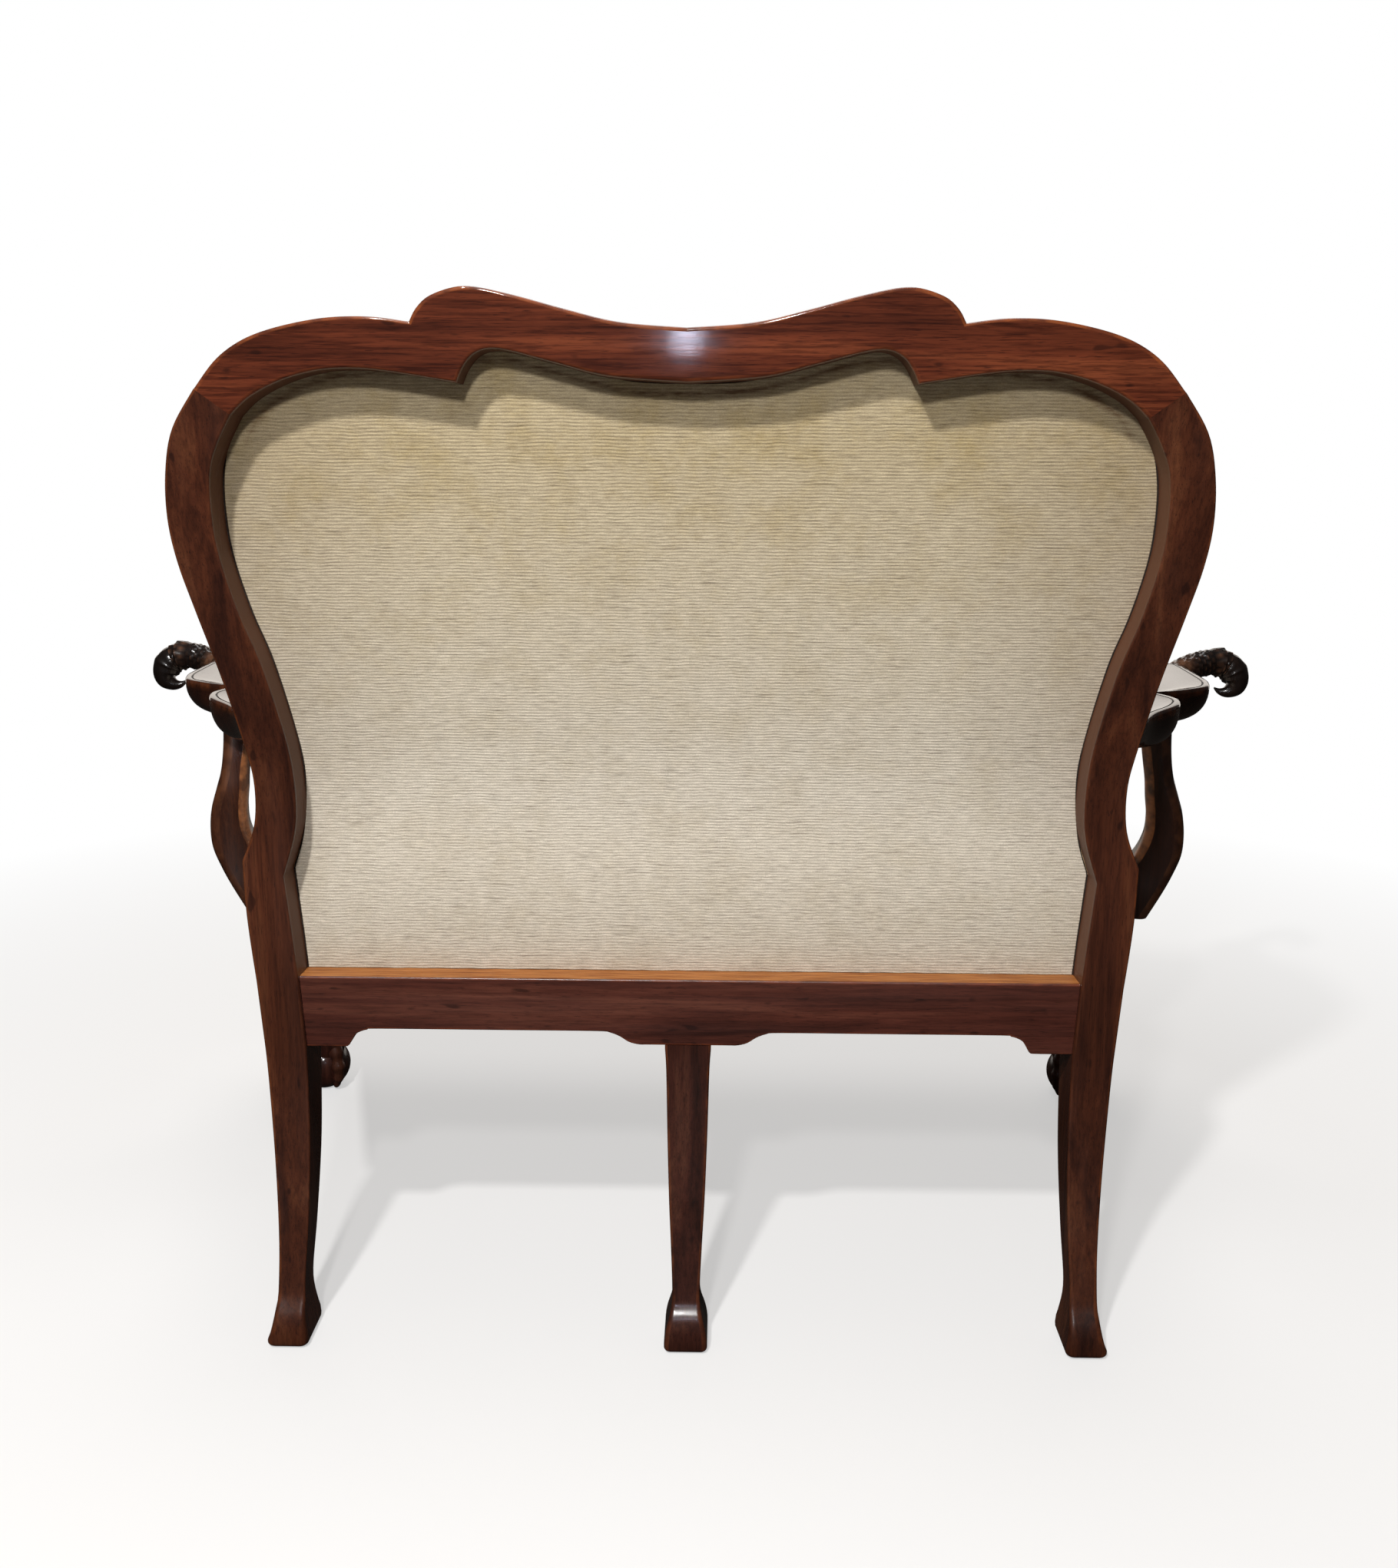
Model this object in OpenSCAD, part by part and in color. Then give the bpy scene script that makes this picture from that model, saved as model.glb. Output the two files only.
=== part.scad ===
// A two-seat show-wood settee in mahogany: a raked back with a double-humped crest,
// an upholstered back panel, a drop-in seat, arms with carved eagle heads, two cabriole
// front legs on ball-and-claw feet and three raked rear legs.
// Millimetres. Z is up, the sitter faces -Y, and the left side is +X.

/* [Overall] */
// Height to the two humps of the crest
overall_height = 1050; // [1000:5:1110]
// Depth from the crest's top edge to the front toes
overall_depth = 732; // [700:2:800]
// Width across the carved eagle heads
arm_span = 1434; // [1380:2:1520]

/* [Back frame] */
// Width across the shoulders of the back frame
back_width = 952; // [910:2:1000]
// Lean of the upper back, in degrees
back_rake = 13.9; // [10:0.1:16]
// Height where the back begins to lean
waist_height = 570; // [555:1:600]
// Half of the height over which the lean sets in
bend_half = 60; // [40:1:70]
// How far the uprights bow forward at the waist
waist_bow = 6; // [0:0.5:8]
// Height of the cusp where each curved upright leaves its straight block
cusp_height = 507; // [495:1:520]
// Thickness of the uprights and crest, front to back
stile_depth = 58; // [54:1:66]
// Depth of the open recess behind the back panel
recess_depth = 36; // [32:0.5:38]

/* [Seat rails] */
// Height of the top of the seat rails
seat_height = 381; // [370:1:400]
// Depth of the seat rails, top to bottom
rail_height = 75; // [70:1:84]
// Height that the shaped lower edge of the rear rail is cut up
arch_rise = 20; // [10:1:28]
// Thickness of the rear seat rail
rear_rail_thickness = 72; // [70:0.5:76]
// Thickness of the side seat rails
side_rail_thickness = 30; // [26:0.5:36]
// Thickness of the front seat rail
front_rail_thickness = 32; // [28:0.5:38]
// Width of the ledge that the rails are cut back to for the seat
rebate_width = 12; // [9:0.5:14]
// Depth of that ledge below the top of the rails
rebate_depth = 13; // [10:0.5:16]

/* [Legs] */
// How far the rear feet stand behind the rear rail
leg_sweep = 70; // [50:1:80]
// Side of the square block on top of each front leg
leg_block = 62; // [58:1:68]
// Distance from the middle of the settee to the middle of a front leg block
front_leg_offset = 555; // [540:1:570]
// Diameter of the ball held in each claw
ball_diameter = 74; // [66:1:80]
// Width of the middle rear leg at its top
middle_leg_width = 48; // [44:1:56]
// Front to back size of the middle rear leg at its top
middle_leg_depth = 46; // [40:1:54]

/* [Arms] */
// Height of the flat top of the arms
arm_height = 652; // [640:1:670]
// Length of an arm from the upright to the root of its neck
arm_length = 417; // [400:1:430]
// Thickness of an arm at its elbow
arm_thickness = 44; // [38:0.5:48]
// Radius of the carved neck
neck_radius = 16.5; // [14:0.5:18]
// Distance of an arm support behind the middle of the front leg
support_setback = 213; // [200:1:225]
// Front to back size of an arm support at its foot
support_foot = 80; // [70:1:90]

/* [Upholstery] */
// Thickness of the back panel's wooden bars
back_bar_thickness = 18; // [16:0.5:20]
// Width of the back panel's wooden bars
back_bar_width = 48; // [40:1:60]
// How far the back panel runs under the edge of the show-wood
panel_lap = 10; // [8:0.5:11]
// Thickness of the covering cloth
cloth = 1.2; // [0.8:0.1:1.3]
// Thickness of the webbing
web = 1.2; // [1:0.1:1.6]
// Width of the webbing
web_width = 50; // [40:1:55]
// Thickness of the back stuffing along its lower edge
back_pad_edge = 12; // [9:0.5:13]
// Extra thickness of the back stuffing at its fullest
back_pad_crown = 30; // [20:1:40]
// Thickness of the drop-in seat's wooden bars
seat_bar_thickness = 20; // [16:0.5:24]
// Width of the drop-in seat's wooden bars
seat_bar_width = 55; // [45:1:65]
// Height of the seat cushion's rolled edge
seat_pad_edge = 16; // [12:1:20]
// Extra height of the seat cushion at its fullest
seat_pad_crown = 38; // [25:1:48]

/* [Joinery] */
// Thickness of the tenons
tenon_thickness = 12; // [10:0.5:14]
// Length of the tenons
tenon_length = 24; // [18:1:27]
// Height of the tenons
tenon_height = 44; // [36:1:48]
// Diameter of the dowels
dowel_diameter = 8; // [6:0.5:10]
// Length of the dowels
dowel_length = 44; // [36:1:50]
// Shank diameter of the wood screws
screw_diameter = 5; // [4:0.5:6]
// Clearance round the tenons
tenon_gap = 0.15; // [0.1:0.05:0.3]
// Clearance between the drop-in seat and the frame
seat_gap = 1.5; // [1:0.1:2]
// Clearance between soft pieces and what carries them
soft_gap = 0.3; // [0.2:0.05:0.5]

/* [Hidden] */

mahogany = "#7a4636";
mahogany_red = "#8a4c3a";
beech = "#c9a878";
linen = "#cfc6b2";
jute = "#a98f62";
steel = "#9a9a9a";
black_cloth = "#2a2826";

// Steps drawn between two points of a curve
curve_steps = 5;
// Every cut runs past its piece by the depth of the settee
overrun = overall_depth;

half_back = back_width / 2;
half_span = arm_span / 2;
leg_top = seat_height - rail_height;

// A smooth curve through points, with straight ends
function spline(p, n) = concat(
    [for (i = [0 : len(p) - 2])
        for (k = [0 : n - 1])
            let (
                t = k / n,
                a = p[max(i - 1, 0)],
                b = p[i],
                c = p[i + 1],
                d = p[min(i + 2, len(p) - 1)]
            )
            0.5 * (2 * b + (c - a) * t + (2 * a - 5 * b + 4 * c - d) * t * t
                + (3 * b - a - 3 * c + d) * t * t * t)],
    [p[len(p) - 1]]
);
function flip(p) = [for (i = [len(p) - 1 : -1 : 0]) p[i]];
function mirrored(p) = [for (q = flip(p)) [-q[0], q[1]]];
function distinct(p) = [
    for (i = [0 : len(p) - 1])
        if (norm(p[i] - p[(i + 1) % len(p)]) > 0) p[i]
];
function mix(a, b, t) = a + (b - a) * t;
function ease(t) = let (s = min(max(t, 0), 1)) s * s * (3 - 2 * s);

// Side view of the back: how far the back face lies behind the rear rail at a height
function lean(z) =
    let (t = z - waist_height)
    t < -bend_half ? 0
    : t > bend_half ? t * tan(back_rake)
    : tan(back_rake) * pow(t + bend_half, 2) / (4 * bend_half);
sweep_power = 1.5;
function sweep(z) = leg_sweep * pow(1 - z / leg_top, sweep_power);
function behind(z) =
    z < leg_top ? sweep(z)
    : lean(z) - waist_bow * ease((z - seat_height) / (waist_height - seat_height));

// Row positions that everything hangs on
rail_y = overall_depth / 2 - behind(overall_height);
foot_y = rail_y + leg_sweep;
function back_y(z) = rail_y + behind(z);

// Heights at which the side views have a point
back_station_shares = [0, 0.06, 0.12, 0.17, 0.2, 0.23, 0.26, 0.29, 0.32, 0.36, 0.4, 0.6, 0.8, 1, 1.03];
back_stations = concat(
    [leg_top],
    [for (s = back_station_shares) mix(seat_height, overall_height, s)]
);
// A sheet that follows the back, from one depth to another behind its face
module slab(from, to) {
    side_view(concat(
        [for (z = back_stations) [back_y(z) - from, z]],
        [for (z = flip(back_stations)) [back_y(z) - to, z]]
    ));
}
// A front-view outline sawn right through, and a side-view outline sawn right across
module front_view(points) {
    translate([0, overrun, 0])
        rotate([90, 0, 0])
            linear_extrude(2 * overrun)
                polygon(distinct(points));
}
module side_view(points) {
    translate([-overrun, 0, 0])
        rotate([90, 0, 90])
            linear_extrude(2 * overrun)
                polygon(points);
}
module both_sides() {
    children();
    mirror([1, 0, 0])
        children();
}
// A box between two corners
module between(low, high) {
    translate(low)
        cube(high - low);
}

// Outlines of the left half of the back frame: shares of the half width across the
// shoulders, and of the height from the cusp to the humps
stile_outer_shares = [
    [0.952, 0], [0.921, 0.07], [0.912, 0.153], [0.922, 0.23], [0.946, 0.355], [0.976, 0.477],
    [0.995, 0.562], [1, 0.635], [0.989, 0.711], [0.963, 0.781], [0.91, 0.845]
];
stile_inner_shares = [
    [0.8645, -0.029], [0.833, 0.063], [0.826, 0.153], [0.833, 0.245], [0.86, 0.379],
    [0.888, 0.466], [0.909, 0.562], [0.913, 0.632], [0.904, 0.709], [0.882, 0.757], [0.848, 0.804]
];
crest_outer_shares = [
    [0.91, 0.845], [0.855, 0.895], [0.782, 0.929], [0.672, 0.951], [0.578, 0.955], [0.501, 0.9475]
];
crest_hump_shares = [
    [0.501, 0.9475], [0.485, 0.969], [0.455, 0.988], [0.395, 1], [0.314, 0.988],
    [0.2195, 0.967], [0.122, 0.948], [0, 0.94]
];
crest_inner_shares = [
    [0.848, 0.804], [0.809, 0.832], [0.746, 0.858], [0.673, 0.874], [0.601, 0.8765],
    [0.537, 0.871], [0.4695, 0.862], [0.423, 0.8555]
];
crest_hollow_shares = [
    [0.423, 0.8555], [0.411, 0.8765], [0.391, 0.897], [0.361, 0.907], [0.319, 0.903],
    [0.237, 0.885], [0.141, 0.8655], [0, 0.857]
];
// The back panel's edge, which laps under the show-wood all round
panel_shares = [
    [0.864, -0.03], [0.84, 0.04], [0.826, 0.153], [0.834, 0.245], [0.86, 0.379], [0.888, 0.466],
    [0.909, 0.562], [0.9125, 0.632], [0.905, 0.705], [0.882, 0.77], [0.84, 0.825], [0.765, 0.865],
    [0.67, 0.888], [0.58, 0.893], [0.49, 0.898], [0.42, 0.91], [0.361, 0.913], [0.3, 0.904],
    [0.21, 0.882], [0.105, 0.863], [0, 0.859]
];
function raised(shares) = [
    for (p = shares) [p[0] * half_back, mix(cusp_height, overall_height, p[1])]
];
stile_outer = spline(raised(stile_outer_shares), curve_steps);
stile_inner = spline(raised(stile_inner_shares), curve_steps);
crest_outer = spline(raised(crest_outer_shares), curve_steps);
crest_hump = spline(raised(crest_hump_shares), curve_steps);
crest_inner = spline(raised(crest_inner_shares), curve_steps);
crest_hollow = spline(raised(crest_hollow_shares), curve_steps);

// Width of the rear leg, outside and inside: shares of the half width and of the leg's height
leg_outer_shares = [
    [0.9265, 1], [0.918, 0.8], [0.9055, 0.53], [0.898, 0.33], [0.897, 0.2], [0.9, 0.13],
    [0.9095, 0.06], [0.918, 0.026], [0.916, 0]
];
leg_inner_shares = [
    [0.836, 1], [0.832, 0.66], [0.834, 0.4], [0.838, 0.23], [0.837, 0.15], [0.832, 0.08],
    [0.828, 0.026], [0.83, 0]
];
function lowered(shares) = [for (p = shares) [p[0] * half_back, p[1] * leg_top]];
leg_outer = spline(lowered(leg_outer_shares), curve_steps);
leg_inner = spline(lowered(leg_inner_shares), curve_steps);
// Shares of the half width at the top of the seat rail and half way up the block
rail_outer_share = 0.936;
block_outer_share = 0.9485;
rail_inner_share = 0.8445;
block_inner_share = 0.85;
block_outer_rise_share = 0.55;
block_inner_rise_share = 0.3;
block_outer = [
    [block_outer_share * half_back, mix(seat_height, cusp_height, block_outer_rise_share)],
    [rail_outer_share * half_back, seat_height]
];
block_inner = [
    [rail_inner_share * half_back, seat_height],
    [block_inner_share * half_back, mix(seat_height, cusp_height, block_inner_rise_share)]
];
rail_end = rail_inner_share * half_back;
rail_end_low = leg_inner_shares[0][0] * half_back;

stile_outline = concat(flip(stile_outer), block_outer, leg_outer, flip(leg_inner), block_inner, stile_inner);

// Side view of a rear leg: the front of the shank, then the block foot. Shares of the
// depth at the top and of the leg's height; foot shares are of the foot's length
shank_front_shares = [[1, 1], [0.83, 0.65], [0.66, 0.36], [0.59, 0.2]];
foot_length = 62;
foot_front_shares = [[0.92, 0.1], [1, 0.045], [0.97, 0]];
foot_edge = 9;
foot_lip = 3;
foot_rise_share = 0.155;
leg_back_shares = [0.25, 0.38, 0.52, 0.68, 0.84, 1];
function leg_side(depth) = concat(
    [[foot_y - foot_lip, 0], [foot_y, foot_lip], [foot_y, foot_edge]],
    [[back_y(foot_rise_share * leg_top), foot_rise_share * leg_top]],
    [for (s = leg_back_shares) [back_y(s * leg_top), s * leg_top]],
    spline(concat(
        [for (p = shank_front_shares) [back_y(p[1] * leg_top) - p[0] * depth, p[1] * leg_top]],
        [for (p = foot_front_shares) [foot_y - p[0] * foot_length, p[1] * leg_top]]
    ), curve_steps)
);
rear_leg_side = leg_side(stile_depth);

// The ball rests on a small flat; four talons come down over it
diagonal = [sqrt(1 / 2), -sqrt(1 / 2)];
ball_radius = ball_diameter / 2;
ball_lean_share = -0.13;
ball_height_share = 0.92;
// Shares of the ball's radius: distance out, height above its middle, thickness
talon_shares = [
    [0.1, 1.75, 0.3], [0.5, 1.42, 0.31], [0.82, 0.98, 0.29], [0.97, 0.6, 0.24], [1.04, 0.28, 0.25],
    [1.05, -0.05, 0.19], [0.97, -0.42, 0.18], [0.84, -0.68, 0.14], [0.72, -0.8, 0.05]
];
talon_turns = [-45, -98, 8, 135];
talon_sides = 8;
function talon_path(turn) = [
    for (p = talon_shares)
        ball_radius * [p[0] * cos(turn), p[0] * sin(turn), p[1], p[2]]
];
toe_reach = -diagonal[1] * ball_lean_share * leg_block - min([
    for (turn = talon_turns)
        for (ring = tube_rings(talon_path(turn), talon_sides))
            for (p = ring) p[1]
]);

// Front of the settee
front_leg_y = toe_reach - overall_depth / 2;
block_front_y = front_leg_y - leg_block / 2;
block_back_y = front_leg_y + leg_block / 2;
block_inner_x = front_leg_offset - leg_block / 2;
block_outer_x = front_leg_offset + leg_block / 2;
stile_front_y = rail_y - stile_depth;
rear_rail_front_y = rail_y - rear_rail_thickness;
front_rail_setback = 8;
front_rail_face_y = block_front_y + front_rail_setback;
front_rail_back_y = front_rail_face_y + front_rail_thickness;

// The outer face of a side rail, as a line in plan
side_start = [rail_outer_share * half_back, stile_front_y];
side_end = [block_outer_x, block_back_y];
side_slope = (side_end[0] - side_start[0]) / (side_start[1] - side_end[1]);
side_angle = atan(side_slope);
function side_x(y, inset) = side_start[0] + (side_start[1] - y) * side_slope - inset / cos(side_angle);
// The left half of the space that the drop-in seat fills, drawn in by a gap
function well_half(gap) = [
    [side_x(rear_rail_front_y - gap, side_rail_thickness - rebate_width + gap), rear_rail_front_y - gap],
    [side_x(front_rail_back_y - rebate_width + gap, side_rail_thickness - rebate_width + gap),
        front_rail_back_y - rebate_width + gap]
];
function both_halves(p) = concat(p, mirrored(p));
rebate_z = seat_height - rebate_depth;
module seat_well() {
    translate([0, 0, rebate_z])
        linear_extrude(overrun)
            polygon(both_halves(well_half(0)));
}

// Tenons: the gap is zero on the tenon and positive in its mortise
tenon_rise_share = 0.1;
tenon_z = leg_top + rail_height * tenon_rise_share;
module tenon_box(low, size, gap) {
    translate(low - [gap, gap, gap])
        cube(size + 2 * [gap, gap, gap]);
}
rear_tenon_share = 0.38;
rear_tenon_y = rail_y - stile_depth * rear_tenon_share;
module rear_rail_tenon(gap) {
    tenon_box([rail_end_low, rear_tenon_y, tenon_z], [tenon_length, tenon_thickness, tenon_height], gap);
}
side_tenon_share = 0.68;
side_tenon_x = side_start[0] - side_rail_thickness * side_tenon_share;
module side_rear_tenon(gap) {
    tenon_box([side_tenon_x, stile_front_y, tenon_z], [tenon_thickness, tenon_length, tenon_height], gap);
}
front_tenon_share = 0.8;
front_tenon_x = side_x(block_back_y, side_rail_thickness * front_tenon_share);
module side_front_tenon(gap) {
    tenon_box([front_tenon_x, block_back_y - tenon_length, tenon_z],
        [tenon_thickness, tenon_length, tenon_height], gap);
}
module front_rail_tenon(gap) {
    tenon_box([block_inner_x, front_rail_face_y + front_rail_setback, tenon_z],
        [tenon_length, tenon_thickness, tenon_height], gap);
}
middle_tenon_width = middle_leg_width / 2;
middle_tenon_share = 0.7;
module middle_leg_tenon(gap) {
    tenon_box([-middle_tenon_width / 2, rail_y - middle_leg_depth * middle_tenon_share, leg_top],
        [middle_tenon_width, tenon_thickness, tenon_height], gap);
}

// Dowels across the shoulder joints, square to the joint line
joint_low = crest_inner[0];
joint_high = crest_outer[0];
joint_mid = (joint_low + joint_high) / 2;
joint_angle = atan2(joint_high[1] - joint_low[1], joint_high[0] - joint_low[0]);
crest_dowel_depth_shares = [0.2, 0.5];
module crest_dowel_pair() {
    for (s = crest_dowel_depth_shares)
        translate([joint_mid[0], back_y(joint_mid[1]) - s * stile_depth, joint_mid[1]])
            rotate([0, -joint_angle, 0])
                cylinder(h = dowel_length, d = dowel_diameter, center = true, $fn = 32);
}
// A dowel from each arm into the front of its upright, with the longer part in the upright
arm_dowel_set = 6;
arm_root_share = 0.9075;
arm_root_x = arm_root_share * half_back;
arm_root_depth = 19;
arm_root_drop_share = 0.4;
arm_root_z = arm_height - arm_root_drop_share * arm_thickness;
arm_root_y = back_y(arm_root_z) - stile_depth;
module arm_dowel() {
    translate([arm_root_x, arm_root_y + arm_dowel_set, arm_root_z])
        rotate([90, 0, 0])
            cylinder(h = dowel_length, d = dowel_diameter, center = true, $fn = 32);
}

// Show-wood of the back
panel_height = overall_height - seat_height;
function panel_edge(lap) = let (
        body = spline(raised(panel_shares), curve_steps),
        foot = block_inner,
        wide = (half_back + lap) / half_back,
        tall = (panel_height + lap) / panel_height
    )
    [for (p = concat(foot, body)) [p[0] * wide, seat_height + (p[1] - seat_height) * tall]];
module panel_rebate() {
    intersection() {
        front_view(both_halves(panel_edge(panel_lap)));
        slab(recess_depth, overrun);
    }
}
module stile_solid() {
    intersection() {
        front_view(stile_outline);
        union() {
            slab(0, stile_depth);
            side_view(rear_leg_side);
        }
    }
}
module rear_leg() {
    color(mahogany)
        difference() {
            stile_solid();
            panel_rebate();
            rear_rail_tenon(tenon_gap);
            side_rear_tenon(tenon_gap);
            crest_dowel_pair();
            arm_dowel();
        }
}
module crest_rail() {
    half = concat(crest_outer, crest_hump);
    under = concat(crest_inner, crest_hollow);
    color(mahogany_red)
        difference() {
            intersection() {
                front_view(concat(half, flip(mirrored_up(half)), mirrored_up(under), flip(under)));
                slab(0, stile_depth);
            }
            panel_rebate();
            both_sides()
                crest_dowel_pair();
        }
}
function mirrored_up(p) = [for (q = p) [-q[0], q[1]]];
module crest_dowels() {
    color(beech)
        both_sides()
            crest_dowel_pair();
}
module arm_dowels() {
    color(beech)
        both_sides()
            arm_dowel();
}

// Rear seat rail: ears at its ends and at the middle leg, ogee curves between them.
// Shares of the half length along the rail and of the rise of the arch
ear_low_share = 0.28;
arch_shares = [
    [0.9, 0], [0.89, 0.1], [0.881, 0.4], [0.872, 0.68], [0.857, 0.85], [0.839, 0.95], [0.81, 1],
    [0.245, 1], [0.205, 0.93], [0.178, 0.72], [0.155, 0.42], [0.128, ear_low_share]
];
rear_rail_half = concat(
    [[rail_end, seat_height], [rail_end_low, leg_top]],
    [for (p = arch_shares) [p[0] * rail_end_low, leg_top + p[1] * arch_rise]]
);
ledge_screw_shares = [-0.75, -0.35, 0.35, 0.75];
module rear_seat_rail() {
    color(mahogany)
        difference() {
            union() {
                translate([0, rail_y, 0])
                    rotate([90, 0, 0])
                        linear_extrude(rear_rail_thickness)
                            polygon(distinct(both_halves(rear_rail_half)));
                rear_strip();
                both_sides()
                    rear_rail_tenon(0);
            }
            middle_leg_tenon(tenon_gap);
            ledge_screw_set();
            both_sides() {
                block_screw_rear();
                bearer_tongue_rear(tenon_gap);
            }
        }
}
// The rear rail is thicker than the legs are deep, and its front strip runs past them to
// the side rails
module rear_strip() {
    translate([0, 0, leg_top + arch_rise])
        linear_extrude(rail_height - arch_rise)
            polygon(both_halves([
                [side_x(stile_front_y, side_rail_thickness), stile_front_y],
                [side_x(rear_rail_front_y, side_rail_thickness), rear_rail_front_y]
            ]));
}

middle_leg_shares = [
    [1, 1], [0.94, 0.92], [0.87, 0.7], [0.78, 0.5], [0.68, 0.35], [0.6, 0.21], [0.63, 0.15],
    [0.85, 0.08], [0.94, 0.03], [0.92, 0]
];
middle_leg_top = leg_top + ear_low_share * arch_rise;
middle_leg_half = concat(
    [[middle_leg_width / 2, middle_leg_top]],
    spline([for (p = middle_leg_shares) [p[0] * middle_leg_width / 2, p[1] * leg_top]], curve_steps)
);
module centre_rear_leg() {
    color(mahogany)
        intersection() {
            union() {
                intersection() {
                    front_view(both_halves(middle_leg_half));
                    union() {
                        side_view(leg_side(middle_leg_depth));
                        between([-middle_leg_width, rail_y - middle_leg_depth, leg_top],
                            [middle_leg_width, rail_y, middle_leg_top]);
                    }
                }
                middle_leg_tenon(0);
            }
            between([-middle_leg_width, -overrun, 0], [middle_leg_width, overrun, seat_height]);
        }
}

// Side seat rails
module side_rail_plan(bottom, top) {
    translate([0, 0, bottom])
        linear_extrude(top - bottom)
            polygon([
                side_start,
                side_end,
                [side_x(block_back_y, side_rail_thickness), block_back_y],
                [side_x(stile_front_y, side_rail_thickness), stile_front_y]
            ]);
}
module side_rail() {
    color(mahogany)
        difference() {
            union() {
                side_rail_plan(leg_top, seat_height);
                side_rear_tenon(0);
                side_front_tenon(0);
            }
            seat_well();
            support_screw_pair();
            block_screw_side(rear_block_side_y);
            block_screw_side(front_block_side_y);
        }
}

// Front seat rail
module front_seat_rail() {
    color(mahogany)
        difference() {
            union() {
                between([-block_inner_x, front_rail_face_y, leg_top],
                    [block_inner_x, front_rail_back_y, seat_height]);
                both_sides()
                    front_rail_tenon(0);
            }
            seat_well();
            both_sides()
                block_screw_front();
            bearer_tongue_front(tenon_gap);
        }
}

// A closed skin over rings of points that all have the same number of points
function ring_faces(rings, n) = [
    for (i = [0 : rings - 2])
        for (j = [0 : n - 1])
            for (half = [0, 1])
                half == 0
                    ? [i * n + j, (i + 1) * n + j, (i + 1) * n + (j + 1) % n]
                    : [i * n + j, (i + 1) * n + (j + 1) % n, i * n + (j + 1) % n]
];
function cap_faces(rings, n) = [
    for (j = [0 : n - 1])
        for (half = [0, 1])
            half == 0
                ? [rings * n, j, (j + 1) % n]
                : [rings * n + 1, (rings - 1) * n + (j + 1) % n, (rings - 1) * n + j]
];
function middle(ring) = [for (i = [0 : 2]) mix(min([for (p = ring) p[i]]), max([for (p = ring) p[i]]), 1 / 2)];
module skin(rings) {
    n = len(rings[0]);
    polyhedron(
        points = concat([for (r = rings) for (p = r) p], [middle(rings[0]), middle(rings[len(rings) - 1])]),
        faces = concat(ring_faces(len(rings), n), cap_faces(len(rings), n)),
        convexity = 6
    );
}
// A round tube along points given as [x, y, z, radius]
function unit(v) = v / norm(v);
function tube_rings(path, sides) = [
    for (i = [0 : len(path) - 1])
        let (
            before = path[max(i - 1, 0)],
            after = path[min(i + 1, len(path) - 1)],
            along = unit([after[0] - before[0], after[1] - before[1], after[2] - before[2]]),
            across = unit(cross(along, [0, 1, 0])),
            third = cross(along, across)
        )
        [for (j = [0 : sides - 1])
            [path[i][0], path[i][1], path[i][2]]
                + path[i][3] * (across * cos(360 * j / sides) + third * sin(360 * j / sides))]
];

// Front leg: the shank's knee swells outwards and forwards, its ankle draws back under the
// block, and its inner edges run on from the knee brackets.
// Shares: height of the leg, then reach inwards and outwards from the block's middle
cabriole_shares = [
    [1, -0.5, 0.5], [0.94, -0.5, 0.6], [0.88, -0.49, 0.66], [0.81, -0.455, 0.665],
    [0.72, -0.42, 0.535], [0.6, -0.43, 0.345], [0.49, -0.49, 0.175], [0.39, -0.6, 0.01],
    [0.31, -0.665, -0.09], [0.26, -0.66, -0.07], [0.22, -0.64, 0.03], [0.17, -0.57, 0.25],
    [0.12, -0.46, 0.34]
];
shank_sides = 20;
shank_steps = 2;
shank_roundness = 0.7;
function signed_power(v, e) = v < 0 ? -pow(-v, e) : pow(v, e);
cabriole_rings = [
    for (p = flip(spline(cabriole_shares, shank_steps)))
        [for (j = [0 : shank_sides - 1])
            let (
                turn = 360 * j / shank_sides,
                out = mix(p[1], p[2], (1 + signed_power(cos(turn), shank_roundness)) / 2),
                forward = mix(p[1], p[2], (1 - signed_power(sin(turn), shank_roundness)) / 2)
            )
            [front_leg_offset + out * leg_block, front_leg_y - forward * leg_block, p[0] * leg_top]]
];
ball_centre = concat([front_leg_offset, front_leg_y] + diagonal * ball_lean_share * leg_block,
    [ball_radius * ball_height_share]);
module talon(turn) {
    translate(ball_centre)
        skin(tube_rings(talon_path(turn), talon_sides));
}
module front_leg() {
    color(mahogany)
        difference() {
            union() {
                between([block_inner_x, block_front_y, leg_top], [block_outer_x, block_back_y, seat_height]);
                skin(cabriole_rings);
                translate(ball_centre)
                    sphere(ball_radius, $fn = 48);
                for (turn = talon_turns)
                    talon(turn);
            }
            seat_well();
            side_front_tenon(tenon_gap);
            front_rail_tenon(tenon_gap);
            between([0, -overrun, -overrun], [half_span, overrun, 0]);
        }
}

// Knee brackets, glued under the rails beside each front leg. Shares of length and drop
bracket_length = 66;
bracket_drop = 64;
bracket_low = leg_top - bracket_drop;
bracket_shares = [[0, 1], [0.1, 0.86], [0.22, 0.62], [0.4, 0.5], [0.6, 0.38], [0.8, 0.14], [1, 0]];
bracket_curve = spline(bracket_shares, curve_steps);
module knee_bracket_front() {
    color(mahogany)
        intersection() {
            front_view(concat([[block_inner_x, leg_top]],
                [for (p = bracket_curve)
                    [block_inner_x - p[0] * bracket_length, leg_top - p[1] * bracket_drop]]));
            between([0, front_rail_face_y, 0], [half_span, front_rail_back_y, leg_top]);
        }
}
module knee_bracket_side() {
    color(mahogany)
        intersection() {
            side_view(concat([[block_back_y, leg_top]],
                [for (p = bracket_curve)
                    [block_back_y + p[0] * bracket_length, leg_top - p[1] * bracket_drop]]));
            side_rail_plan(bracket_low, leg_top);
        }
}

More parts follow.
